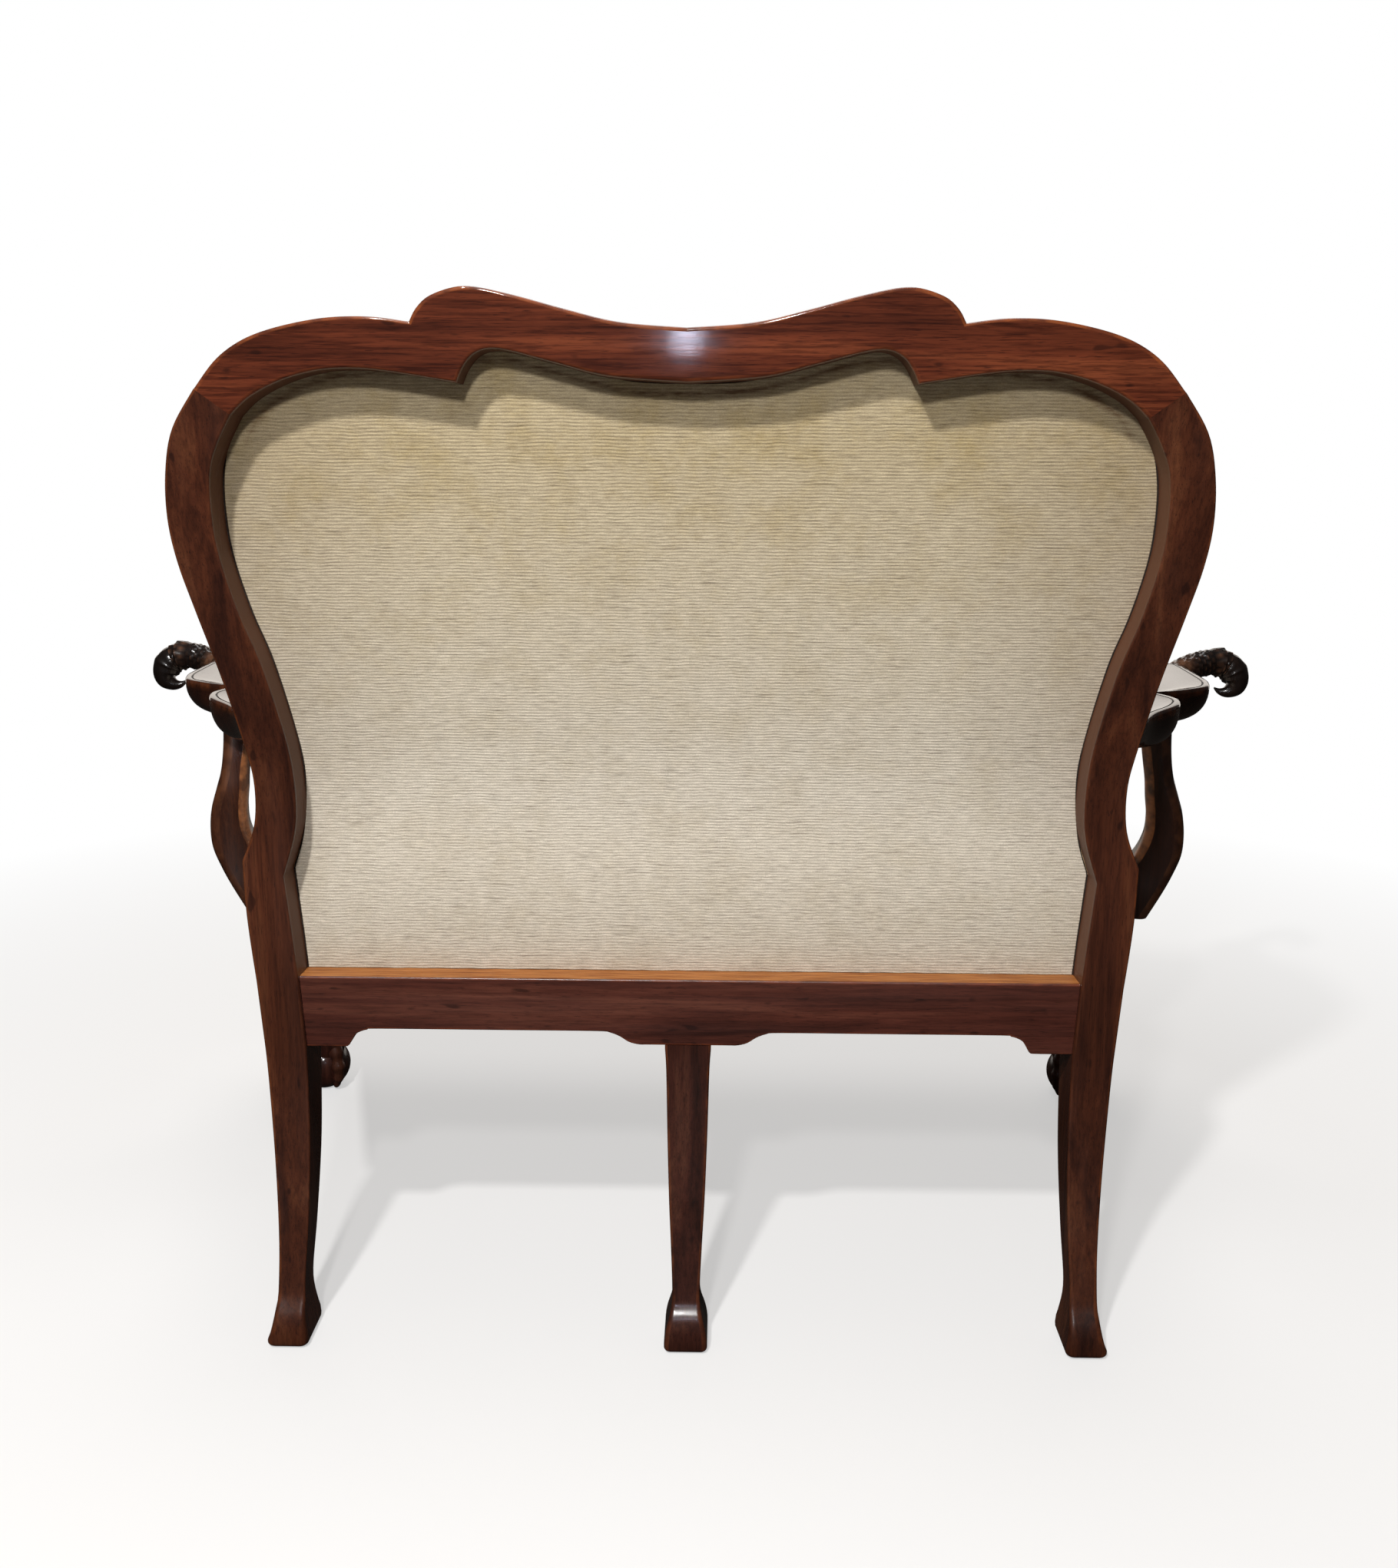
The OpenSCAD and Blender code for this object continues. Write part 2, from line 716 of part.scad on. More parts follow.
// Arms. Stations along the arm: share of its length, inner and outer edge as shares of the
// way from the upright to the widest point, and thickness as a share of the elbow's
arm_start_share = 0.876;
arm_start_x = arm_start_share * half_back;
arm_back_y = arm_root_y + arm_root_depth;
arm_stations = [
    [0, 0, 0.12, 0.72], [0.132, 0.02, 0.216, 0.86], [0.252, 0.09, 0.338, 1.05],
    [0.343, 0.164, 0.39, 1.1], [0.415, 0.207, 0.372, 0.95], [0.456, 0.23, 0.335, 0.78],
    [0.47, 0.235, 0.38, 0.78], [0.492, 0.249, 0.459, 0.86], [0.564, 0.285, 0.584, 0.95],
    [0.652, 0.321, 0.636, 1], [0.755, 0.354, 0.652, 1], [0.863, 0.384, 0.662, 0.92],
    [0.947, 0.426, 0.669, 0.8], [1, 0.478, 0.666, 0.68], [1.014, 0.52, 0.64, 0.56],
    [1.02, 0.56, 0.6, 0.42]
];
// Points round a section: share across from the inner edge, share down from the flat top
arm_section_shares = [
    [0, 0.1], [0.04, 0], [0.35, 0.02], [0.65, 0.02], [0.96, 0], [1, 0.1], [0.985, 0.38],
    [0.92, 0.64], [0.8, 0.84], [0.64, 0.96], [0.5, 1], [0.36, 0.96], [0.2, 0.84], [0.08, 0.64],
    [0.015, 0.38]
];
arm_rings = [
    for (s = flip(arm_stations))
        [for (p = arm_section_shares)
            [mix(arm_start_x, half_span, mix(s[1], s[2], p[0])),
                arm_back_y - s[0] * arm_length,
                arm_height - p[1] * s[3] * arm_thickness]]
];
// The neck and head: share out to the widest point, share along the arm, drop and radius
// as shares of the neck's radius
neck_shares = [
    [0.577, 0.9, 1.15, 0.95], [0.626, 0.975, 0.95, 1], [0.689, 1.038, 0.5, 1], [0.774, 1.074, 0.2, 0.98],
    [0.862, 1.091, 0.28, 0.97], [0.928, 1.0935, 0.72, 0.94], [0.9568, 1.091, 1.5, 0.82],
    [0.9525, 1.086, 2.2, 0.66], [0.928, 1.081, 2.68, 0.5], [0.898, 1.079, 2.8, 0.36],
    [0.875, 1.079, 2.5, 0.22], [0.862, 1.078, 2.15, 0.08]
];
neck_sides = 12;
neck_path = [
    for (p = neck_shares)
        [mix(arm_start_x, half_span, p[0]), arm_back_y - p[1] * arm_length,
            arm_height - p[2] * neck_radius, p[3] * neck_radius]
];
module arm_solid() {
    union() {
        skin(arm_rings);
        skin(tube_rings(neck_path, neck_sides));
    }
}
module arm() {
    color(mahogany)
        difference() {
            arm_solid();
            stile_solid();
            arm_dowel();
            support_dowel();
        }
}

// Arm supports: they lap over the outside of the side rail. Shares of the height to the
// arm, then of the foot: inner face, outer face, step back and half depth
support_shares = [
    [0, -0.11, 0.49, 0, 0.5], [0.108, -0.075, 0.69, 0.025, 0.475], [0.191, 0.075, 0.825, 0.075, 0.41],
    [0.274, 0.25, 0.925, 0.15, 0.34], [0.357, 0.35, 0.94, 0.225, 0.29], [0.442, 0.36, 0.9, 0.3, 0.256],
    [0.522, 0.325, 0.81, 0.35, 0.244], [0.595, 0.3, 0.725, 0.35, 0.2375],
    [0.674, 0.25, 0.675, 0.325, 0.244], [0.761, 0.2, 0.65, 0.25, 0.2625],
    [0.894, 0.14, 0.64, 0.15, 0.2875]
];
support_corner_shares = [
    [0, 0.12], [0.05, 0.03], [0.16, 0], [0.84, 0], [0.95, 0.03], [1, 0.12],
    [1, 0.88], [0.95, 0.97], [0.84, 1], [0.16, 1], [0.05, 0.97], [0, 0.88]
];
support_lap = 30;
support_y = front_leg_y + support_setback;
support_low = seat_height - support_lap;
support_place = [side_x(support_y, 0), support_y, 0];
module support_blank() {
    translate(support_place)
        rotate([0, 0, side_angle])
            skin([
                for (s = support_shares)
                    [for (c = support_corner_shares)
                        [mix(s[1], s[2], c[0]) * support_foot,
                            (s[3] + mix(-s[4], s[4], c[1])) * support_foot,
                            mix(support_low, arm_height, s[0])]]
            ]);
}
support_dowel_share = 0.4;
support_dowel_back_share = 0.22;
module support_dowel() {
    translate(support_place)
        rotate([0, 0, side_angle])
            translate([support_dowel_share * support_foot, support_dowel_back_share * support_foot,
                arm_height - arm_thickness])
                cylinder(h = dowel_length, d = dowel_diameter, center = true, $fn = 32);
}
module arm_support() {
    color(mahogany)
        difference() {
            support_blank();
            arm_solid();
            side_rail_plan(0, seat_height);
            support_dowel();
            support_screw_pair();
        }
}
module support_dowels() {
    color(beech)
        both_sides()
            support_dowel();
}

// Wood screws: a shank with a head sunk flush where the screw starts, along +X
screw_head_diameter = 2 * screw_diameter;
screw_head_share = 0.6;
screw_head_height = screw_head_share * screw_diameter;
module screw(length, access = 0) {
    rotate([0, 90, 0]) {
        cylinder(h = length, d = screw_diameter, $fn = 24);
        translate([0, 0, -access])
            cylinder(h = screw_head_height + access, d = screw_head_diameter, $fn = 24);
    }
}
support_screw_spread_share = 0.28;
support_screw_length = 50;
module support_screw_pair() {
    for (side = [-1, 1])
        translate(support_place)
            rotate([0, 0, side_angle])
                translate([-side_rail_thickness, side * support_screw_spread_share * support_foot,
                    support_low + support_lap / 3])
                    screw(support_screw_length);
}
module support_screws() {
    color(steel)
        both_sides()
            support_screw_pair();
}

// Corner blocks inside the seat rails, and their screws
block_leg = 74;
block_clearance = 3;
ledge_height = 18;
ledge_width = 22;
block_bottom = leg_top + arch_rise + block_clearance;
rear_block_top = rebate_z - ledge_height;
front_block_top = rebate_z - block_clearance;
screw_z = (block_bottom + rear_block_top) / 2;
module plan_block(points, bottom, top) {
    color(beech)
        translate([0, 0, bottom])
            linear_extrude(top - bottom)
                polygon(points);
}
rear_block_corner = [side_x(rear_rail_front_y, side_rail_thickness), rear_rail_front_y];
block_screw_share = 0.45;
rear_block_side_y = rear_rail_front_y - block_leg * block_screw_share;
front_block_side_y = block_back_y + block_leg * block_screw_share;
block_screw_length = 44;
block_screw_start = 20;
module block_screw_rear(access = 0) {
    translate([rear_block_corner[0] - block_leg * block_screw_share, rear_rail_front_y - block_screw_start, screw_z])
        rotate([0, 0, 90])
            screw(block_screw_length, access);
}
module block_screw_front(access = 0) {
    translate([block_inner_x - block_leg * block_screw_share, front_rail_back_y + block_screw_start, screw_z])
        rotate([0, 0, -90])
            screw(block_screw_length, access);
}
module block_screw_side(y, access = 0) {
    translate([side_x(y, side_rail_thickness + block_screw_start), y, screw_z])
        rotate([0, 0, side_angle])
            screw(block_screw_length, access);
}
module corner_block_rear() {
    difference() {
        plan_block([
            rear_block_corner,
            [rear_block_corner[0] - block_leg, rear_rail_front_y],
            [side_x(rear_rail_front_y - block_leg, side_rail_thickness), rear_rail_front_y - block_leg]
        ], block_bottom, rear_block_top);
        block_screw_rear(block_leg);
        block_screw_side(rear_block_side_y, block_leg);
    }
}
module corner_block_front() {
    difference() {
        plan_block([
            [block_inner_x - block_leg, front_rail_back_y],
            [block_inner_x, front_rail_back_y],
            [block_inner_x, block_back_y],
            [side_x(block_back_y, side_rail_thickness), block_back_y],
            [side_x(block_back_y + block_leg, side_rail_thickness), block_back_y + block_leg]
        ], block_bottom, front_block_top);
        block_screw_front(block_leg);
        block_screw_side(front_block_side_y, block_leg);
    }
}
module block_screws() {
    color(steel)
        both_sides() {
            block_screw_rear();
            block_screw_front();
            block_screw_side(rear_block_side_y);
            block_screw_side(front_block_side_y);
        }
}

// A bearer ties the front rail to the rear rail under the middle of the seat
bearer_width = 44;
bearer_height = rear_block_top - block_bottom;
bearer_tongue = 12;
bearer_z = block_bottom;
module bearer_tongue_rear(gap) {
    tenon_box([-bearer_width / 4, rear_rail_front_y, bearer_z],
        [bearer_width / 2, bearer_tongue, bearer_height], gap);
}
module bearer_tongue_front(gap) {
    tenon_box([-bearer_width / 4, front_rail_back_y - bearer_tongue, bearer_z],
        [bearer_width / 2, bearer_tongue, bearer_height], gap);
}
module seat_bearer() {
    color(beech) {
        between([-bearer_width / 2, front_rail_back_y, bearer_z],
            [bearer_width / 2, rear_rail_front_y, bearer_z + bearer_height]);
        bearer_tongue_rear(0);
        bearer_tongue_front(0);
    }
}
// A ledge on the rear rail carries the back edge of the drop-in seat
module rear_seat_ledge() {
    difference() {
        plan_block(both_halves([
            [side_x(rear_rail_front_y, side_rail_thickness), rear_rail_front_y],
            [side_x(rear_rail_front_y - ledge_width, side_rail_thickness), rear_rail_front_y - ledge_width]
        ]), rebate_z - ledge_height, rebate_z);
        ledge_screw_set();
    }
}
ledge_screw_length = 50;
module ledge_screw_set() {
    for (s = ledge_screw_shares)
        translate([s * rail_end, rear_rail_front_y - ledge_width, rebate_z - ledge_height / 2])
            rotate([0, 0, 90])
                screw(ledge_screw_length);
}
module ledge_screws() {
    color(steel)
        ledge_screw_set();
}

// Back panel: a wooden frame in the rebate, cloth behind it, webbing, hessian and stuffing
// in front of it. Depths are measured forward from the back face of the uprights
cover_depth = recess_depth + soft_gap / 2;
bar_depth = cover_depth + cloth + soft_gap / 2;
web_depth = bar_depth + back_bar_thickness;
hessian_depth = web_depth + 2 * web;
pad_depth = hessian_depth + cloth + 2 * soft_gap;
panel_clear = 0.8;
window_low = seat_height + back_bar_width;
window_high_share = 0.78;
window_high = mix(seat_height, overall_height, window_high_share);
window_half = rail_end - back_bar_width;
module panel_piece(lap, from, to) {
    intersection() {
        front_view(both_halves(panel_edge(lap)));
        slab(from, to);
        between([-half_span, -overrun, seat_height + soft_gap], [half_span, overrun, overall_height]);
    }
}
module back_bar(low, high) {
    color(beech)
        intersection() {
            panel_piece(panel_lap - panel_clear, bar_depth, web_depth);
            between([low[0], -overrun, low[1]], [high[0], overrun, high[1]]);
        }
}
module back_frame_top_bar() {
    back_bar([-half_back, window_high], [half_back, overall_height]);
}
module back_frame_bottom_bar() {
    back_bar([-half_back, 0], [half_back, window_low]);
}
module back_frame_side_bar() {
    back_bar([window_half, window_low], [half_back, window_high]);
}
module back_frame_middle_bar() {
    back_bar([-back_bar_width / 2, window_low], [back_bar_width / 2, window_high]);
}
module outside_back_cover() {
    color(linen)
        panel_piece(panel_lap - panel_clear, cover_depth, cover_depth + cloth);
}
module back_hessian() {
    color(jute)
        panel_piece(panel_clear - panel_lap, hessian_depth, hessian_depth + cloth);
}
back_web_rows = 4;
back_web_columns = 3;
module back_webbing() {
    color(jute) {
        intersection() {
            panel_piece(panel_clear - panel_lap, web_depth, web_depth + web);
            for (i = [1 : back_web_rows])
                translate([-half_span, -overrun, mix(window_low, window_high, i / (back_web_rows + 1)) - web_width / 2])
                    cube([2 * half_span, 2 * overrun, web_width]);
        }
        intersection() {
            panel_piece(panel_clear - panel_lap, web_depth + web, hessian_depth);
            both_sides()
                for (i = [0 : back_web_columns - 1])
                    translate([mix(0, window_half, (i + 0.5) / back_web_columns) - web_width / 2, -overrun, 0])
                        cube([web_width, 2 * overrun, overall_height]);
        }
    }
}
// Stuffing: rings from the middle of its back, round the edge, to the middle of its front,
// then cut to the curve of the panel behind it.
// Shares: size of the ring, rise over the edge thickness, rise over the crown
back_pad_shares = [
    [0.04, -0.5, 0], [0.985, -0.5, 0], [1, 0.4, 0], [0.99, 0.8, 0.02],
    [0.96, 1, 0.12], [0.88, 1, 0.4], [0.74, 1, 0.72], [0.5, 1, 0.94], [0.25, 1, 1], [0.04, 1, 1]
];
pad_low_share = 0.2;
pad_full_share = 0.42;
pad_centre_share = 0.48;
pad_centre_z = mix(seat_height, overall_height, pad_centre_share);
pad_foot_share = 0.45;
pad_outline_steps = 2;
function pad_edge() = let (
        body = spline(raised(panel_shares), pad_outline_steps),
        foot = [
            [pad_foot_share * rail_end, seat_height + 2 * soft_gap],
            [rail_end, seat_height + 2 * soft_gap],
            [block_inner_share * half_back, mix(seat_height, cusp_height, block_outer_rise_share)]
        ],
        half = concat(foot, body)
    )
    concat(half, [for (i = [len(half) - 2 : -1 : 0]) [-half[i][0], half[i][1]]]);
module back_cushion() {
    edge = pad_edge();
    color(linen)
        intersection() {
            skin([
                for (s = back_pad_shares)
                    [for (p = edge)
                        let (
                            z = mix(pad_centre_z, p[1], s[0]),
                            level = (z - seat_height) / panel_height,
                            swell = ease((level - pad_low_share) / (pad_full_share - pad_low_share)),
                            depth = pad_depth + s[1] * back_pad_edge + s[2] * swell * back_pad_crown
                        )
                        [p[0] * s[0], back_y(z) - depth, z]]
            ]);
            slab(pad_depth, overrun);
        }
}
gimp_hold = 5;
gimp_thickness = 2;
module back_gimp() {
    color(linen)
        difference() {
            panel_piece(panel_lap + gimp_hold, stile_depth, stile_depth + gimp_thickness);
            front_view(both_halves(panel_edge(panel_clear)));
        }
}

// Drop-in seat
back_clearance = 5.5;
seat_bottom_z = rebate_z + soft_gap;
seat_bar_top = seat_bottom_z + seat_bar_thickness;
seat_hessian_z = seat_bar_top + 2 * web;
seat_pad_z = seat_hessian_z + cloth + soft_gap;
seat_rear_y = rear_rail_front_y - back_clearance;
seat_front_y = front_rail_back_y - rebate_width + seat_gap;
function seat_side(y, inset) = [side_x(y, side_rail_thickness - rebate_width + seat_gap + inset), y];
function seat_half(inset) = [seat_side(seat_rear_y - inset, inset), seat_side(seat_front_y + inset, inset)];
module seat_sheet(inset, bottom, top) {
    translate([0, 0, bottom])
        linear_extrude(top - bottom)
            polygon(both_halves(seat_half(inset)));
}
module seat_bar(low, high) {
    color(beech)
        intersection() {
            seat_sheet(0, seat_bottom_z, seat_bar_top);
            between([low[0], low[1], 0], [high[0], high[1], overall_height]);
        }
}
module seat_frame_front_bar() {
    seat_bar([-half_span, seat_front_y], [half_span, seat_front_y + seat_bar_width]);
}
module seat_frame_rear_bar() {
    seat_bar([-half_span, seat_rear_y - seat_bar_width], [half_span, seat_rear_y]);
}
module seat_frame_side_bar() {
    front_end = seat_front_y + seat_bar_width;
    rear_end = seat_rear_y - seat_bar_width;
    plan_block([
        seat_side(rear_end, 0), seat_side(front_end, 0),
        seat_side(front_end, seat_bar_width), seat_side(rear_end, seat_bar_width)
    ], seat_bottom_z, seat_bar_top);
}
module seat_frame_middle_bar() {
    seat_bar([-seat_bar_width / 2, seat_front_y + seat_bar_width],
        [seat_bar_width / 2, seat_rear_y - seat_bar_width]);
}
seat_web_columns = 6;
seat_web_rows = 4;
web_inset = 12;
module seat_webbing() {
    color(jute) {
        intersection() {
            seat_sheet(web_inset, seat_bar_top, seat_bar_top + web);
            both_sides()
                for (i = [0 : seat_web_columns - 1])
                    translate([mix(0, side_start[0], (i + 0.5) / seat_web_columns) - web_width / 2, -overrun, 0])
                        cube([web_width, 2 * overrun, overall_height]);
        }
        intersection() {
            seat_sheet(web_inset, seat_bar_top + web, seat_hessian_z);
            for (i = [1 : seat_web_rows])
                translate([-half_span, mix(seat_front_y, seat_rear_y, i / (seat_web_rows + 1)) - web_width / 2, 0])
                    cube([2 * half_span, web_width, overall_height]);
        }
    }
}
module seat_hessian() {
    color(jute)
        seat_sheet(web_inset, seat_hessian_z, seat_hessian_z + cloth);
}
// The bottom cloth stops short of the ledges and of the front leg blocks
cloth_inset = rebate_width + web_inset;
module seat_bottom_cloth() {
    rear = rear_rail_front_y - ledge_width - web_inset;
    front = block_back_y + web_inset;
    color(black_cloth)
        translate([0, 0, seat_bottom_z - cloth])
            linear_extrude(cloth)
                polygon(both_halves([seat_side(rear, cloth_inset), seat_side(front, cloth_inset)]));
}
// Outline with rounded corners and points along its sides
seat_corner_radius = 16;
corner_steps = 4;
side_steps = 8;
function rounded(p, r) = [
    for (i = [0 : len(p) - 1])
        let (
            here = p[i],
            from = p[(i + len(p) - 1) % len(p)],
            to = p[(i + 1) % len(p)],
            a = here + r * unit(from - here),
            b = here + r * unit(to - here),
            next = to + r * unit(here - to)
        )
        each concat(
            [for (k = [0 : corner_steps]) let (t = k / corner_steps)
                (1 - t) * (1 - t) * a + 2 * t * (1 - t) * here + t * t * b],
            [for (k = [1 : side_steps - 1]) mix(b, next, k / side_steps)]
        )
];
seat_pad_shares = [
    [0.04, 0, 0], [0.6, 0, 0], [0.985, 0, 0], [1, 0.4, 0], [0.992, 0.8, 0.02], [0.965, 1, 0.1],
    [0.89, 1, 0.36], [0.76, 1, 0.68], [0.52, 1, 0.92], [0.26, 1, 1], [0.04, 1, 1]
];
seat_centre = [0, (seat_front_y + seat_rear_y) / 2];
module seat_cushion() {
    edge = rounded(flip(both_halves(seat_half(soft_gap))), seat_corner_radius);
    color(linen)
        skin([
            for (s = seat_pad_shares)
                [for (p = edge)
                    let (q = mix(seat_centre, p, s[0]))
                    [q[0], q[1], seat_pad_z + s[1] * seat_pad_edge + s[2] * seat_pad_crown]]
        ]);
}

module right_hand() {
    mirror([1, 0, 0])
        children();
}

crest_rail();
rear_leg();  // rear_leg_left
right_hand() rear_leg();  // rear_leg_right
rear_seat_rail();
centre_rear_leg();
side_rail();  // side_rail_left
right_hand() side_rail();  // side_rail_right
front_seat_rail();
front_leg();  // front_leg_left
right_hand() front_leg();  // front_leg_right
knee_bracket_front();  // knee_bracket_front_left
right_hand() knee_bracket_front();  // knee_bracket_front_right
knee_bracket_side();  // knee_bracket_side_left
right_hand() knee_bracket_side();  // knee_bracket_side_right
arm();  // arm_left
right_hand() arm();  // arm_right
arm_support();  // arm_support_left
right_hand() arm_support();  // arm_support_right
corner_block_front();  // corner_block_front_left
right_hand() corner_block_front();  // corner_block_front_right
corner_block_rear();  // corner_block_rear_left
right_hand() corner_block_rear();  // corner_block_rear_right
seat_bearer();
rear_seat_ledge();
back_frame_top_bar();
back_frame_bottom_bar();
back_frame_side_bar();  // back_frame_left_bar
right_hand() back_frame_side_bar();  // back_frame_right_bar
back_frame_middle_bar();
outside_back_cover();
back_webbing();
back_hessian();
back_cushion();
back_gimp();
seat_frame_front_bar();
seat_frame_rear_bar();
seat_frame_side_bar();  // seat_frame_left_bar
right_hand() seat_frame_side_bar();  // seat_frame_right_bar
seat_frame_middle_bar();
seat_webbing();
seat_hessian();
seat_cushion();
seat_bottom_cloth();
crest_dowels();
arm_dowels();
support_dowels();
support_screws();
block_screws();
ledge_screws();
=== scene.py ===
# %% [markdown]
# # A mahogany settee with a cloth back
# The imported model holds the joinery: rails, tenons, dowels and the seat that lifts out.
# This lesson loads it as a fixed frame and gives every surface that shows the eased
# edges, carving, cloth and polish of the real settee, without moving anything.

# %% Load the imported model
import math
import bpy
import bmesh
import numpy as np
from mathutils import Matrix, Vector


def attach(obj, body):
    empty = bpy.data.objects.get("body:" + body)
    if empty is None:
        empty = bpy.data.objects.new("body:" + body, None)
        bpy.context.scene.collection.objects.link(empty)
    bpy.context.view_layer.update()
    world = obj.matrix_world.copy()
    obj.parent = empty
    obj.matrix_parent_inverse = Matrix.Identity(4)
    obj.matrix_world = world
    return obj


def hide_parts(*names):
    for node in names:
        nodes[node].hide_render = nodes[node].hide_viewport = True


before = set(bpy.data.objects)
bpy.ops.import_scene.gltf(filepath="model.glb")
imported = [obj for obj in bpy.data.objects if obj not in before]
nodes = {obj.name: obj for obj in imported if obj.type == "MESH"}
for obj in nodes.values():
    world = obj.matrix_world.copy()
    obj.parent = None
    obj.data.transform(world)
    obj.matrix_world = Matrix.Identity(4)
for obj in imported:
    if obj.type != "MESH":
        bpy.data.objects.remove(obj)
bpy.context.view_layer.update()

print("packed nodes:", len(nodes))

# %% [markdown]
# ## The settee's sizes
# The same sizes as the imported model, in millimetres, so that each new surface lies on
# its solid. The back is straight up to the waist, bows a little forward, then leans.

# %% Sizes and the curve of the back
HALF_BACK, HALF_SPAN = 476.0, 717.0
TOP, SEAT, LEG_TOP = 1050.0, 381.0, 306.0
WAIST, BEND, BOW, RAKE = 570.0, 60.0, 6.0, math.tan(math.radians(13.9))
CUSP = 507.0
STILE_DEPTH, RECESS = 58.0, 36.0
RAIL_SET_IN = 6.0


def behind_upper(z):
    """Nothing below the bend, a parabola through it, then a straight lean, less the forward bow."""
    t = z - WAIST
    lean = np.where(t < -BEND, 0, np.where(t > BEND, t * RAKE, RAKE * (t + BEND) ** 2 / (4 * BEND)))
    s = np.clip((z - SEAT) / (WAIST - SEAT), 0, 1)
    return lean - BOW * s * s * (3 - 2 * s)


RAIL_Y = 366.0 - float(behind_upper(np.array(TOP)))
FOOT_Y = RAIL_Y + 70.0


def back_y(z):
    """The back face: the lean above the seat, and the legs' backward sweep below it."""
    z = np.asarray(z, float)
    sweep = 70.0 * np.clip(1 - z / LEG_TOP, 0, 1) ** 1.5
    return RAIL_Y + np.where(z < LEG_TOP, sweep, behind_upper(z))


print("rail and foot stand at y", round(RAIL_Y, 1), round(FOOT_Y, 1))

# %% [markdown]
# ## Curves and skins
# A maker draws a few points and bends a batten through them. The batten here is a cubic
# through the points. A piece is then a profile carried along its path: rings of points,
# joined by quads, with a fan at each end.

# %% Curves through points
def batten(points, steps=6):
    """Each span is the cubic whose slope at a point is half the way between its two neighbours."""
    p = np.asarray(points, float)
    q = np.vstack([p[:1], p, p[-1:]])
    t = (np.arange(steps) / steps)[None, :, None]
    a, b, c, d = (q[i:len(q) - 3 + i][:, None] for i in range(4))
    square, cube = 2 * a - 5 * b + 4 * c - d, 3 * b - a - 3 * c + d
    spans = 0.5 * (2 * b + (c - a) * t + square * t ** 2 + cube * t ** 3)
    return np.vstack([spans.reshape(-1, p.shape[1]), p[-1:]])


def evenly(points, count, hold=0.0, near=()):
    """Points at equal lengths along a line. A hold adds one close to each end, so that a corner stays
    crisp; near adds more at these distances from the start."""
    p = np.asarray(points, float)
    length = np.concatenate([[0], np.cumsum(np.linalg.norm(np.diff(p, axis=0), axis=1))])
    t = np.linspace(0, length[-1], count)
    extra = [*near, hold, length[-1] - hold] if hold else near
    t = np.unique(np.concatenate([t, extra]))
    return np.stack([np.interp(t, length, p[:, i]) for i in range(p.shape[1])], axis=1)


def chain(lines):
    """Lines laid end to end; each starts where the one before it ends, so that point is kept once."""
    return np.vstack([lines[0]] + [line[1:] for line in lines[1:]])


def shares_of_back(table):
    """Shares of the half width and of the height from the cusp to the top, as millimetres."""
    s = np.asarray(table, float)
    return np.stack([s[:, 0] * HALF_BACK, CUSP + s[:, 1] * (TOP - CUSP)], axis=1)


print("a batten through three points has", len(batten([[0, 0], [1, 1], [2, 0]])), "points")

# %% Skins from rings of points
def mesh_object(name, points, faces, wear=None):
    """A mesh in metres from points in millimetres. Its volume is a sixth of the sum of each triangle's
    triple product; below nought the faces point inwards, and they are turned round."""
    points = np.asarray(points, float).reshape(-1, 3) * 0.001
    mesh = bpy.data.meshes.new(name)
    mesh.from_pydata(points.tolist(), [], [list(f) for f in faces])
    mesh.polygons.foreach_set("use_smooth", np.ones(len(mesh.polygons), bool))
    if wear is not None:
        layer = mesh.attributes.new("wear", "FLOAT", "POINT")
        layer.data.foreach_set("value", np.asarray(wear, np.float32).ravel())
    mesh.calc_loop_triangles()
    corners = np.empty(len(mesh.loop_triangles) * 3, int)
    mesh.loop_triangles.foreach_get("vertices", corners)
    a, b, c = points[corners.reshape(-1, 3)].transpose(1, 0, 2)
    if np.einsum("ij,ij->i", a, np.cross(b, c)).sum() < 0:
        mesh.flip_normals()
    mesh.set_sharp_from_angle(angle=math.radians(40))
    piece = bpy.data.objects.new(name, mesh)
    bpy.context.scene.collection.objects.link(piece)
    return piece


def skin(name, rings, wear=None):
    """Quads join each point to the next one and to the next ring; a fan at each end closes the skin."""
    rings = np.asarray(rings, float)
    n, m = rings.shape[:2]
    i = np.arange(n - 1)[:, None] * m
    j = np.arange(m)[None, :]
    k = (j + 1) % m
    quads = np.stack([i + j, i + k, i + m + k, i + m + j], axis=-1).reshape(-1, 4)
    first = np.stack([np.full(m, n * m), k[0], j[0]], axis=1)
    last = np.stack([np.full(m, n * m + 1), (n - 1) * m + j[0], (n - 1) * m + k[0]], axis=1)
    points = np.vstack([rings.reshape(-1, 3), rings[0].mean(0)[None], rings[-1].mean(0)[None]])
    if wear is not None:
        wear = np.concatenate([np.broadcast_to(wear, (n, m)).ravel(), [0, 0]])
    return mesh_object(name, points, [*quads.tolist(), *first.tolist(), *last.tolist()], wear)


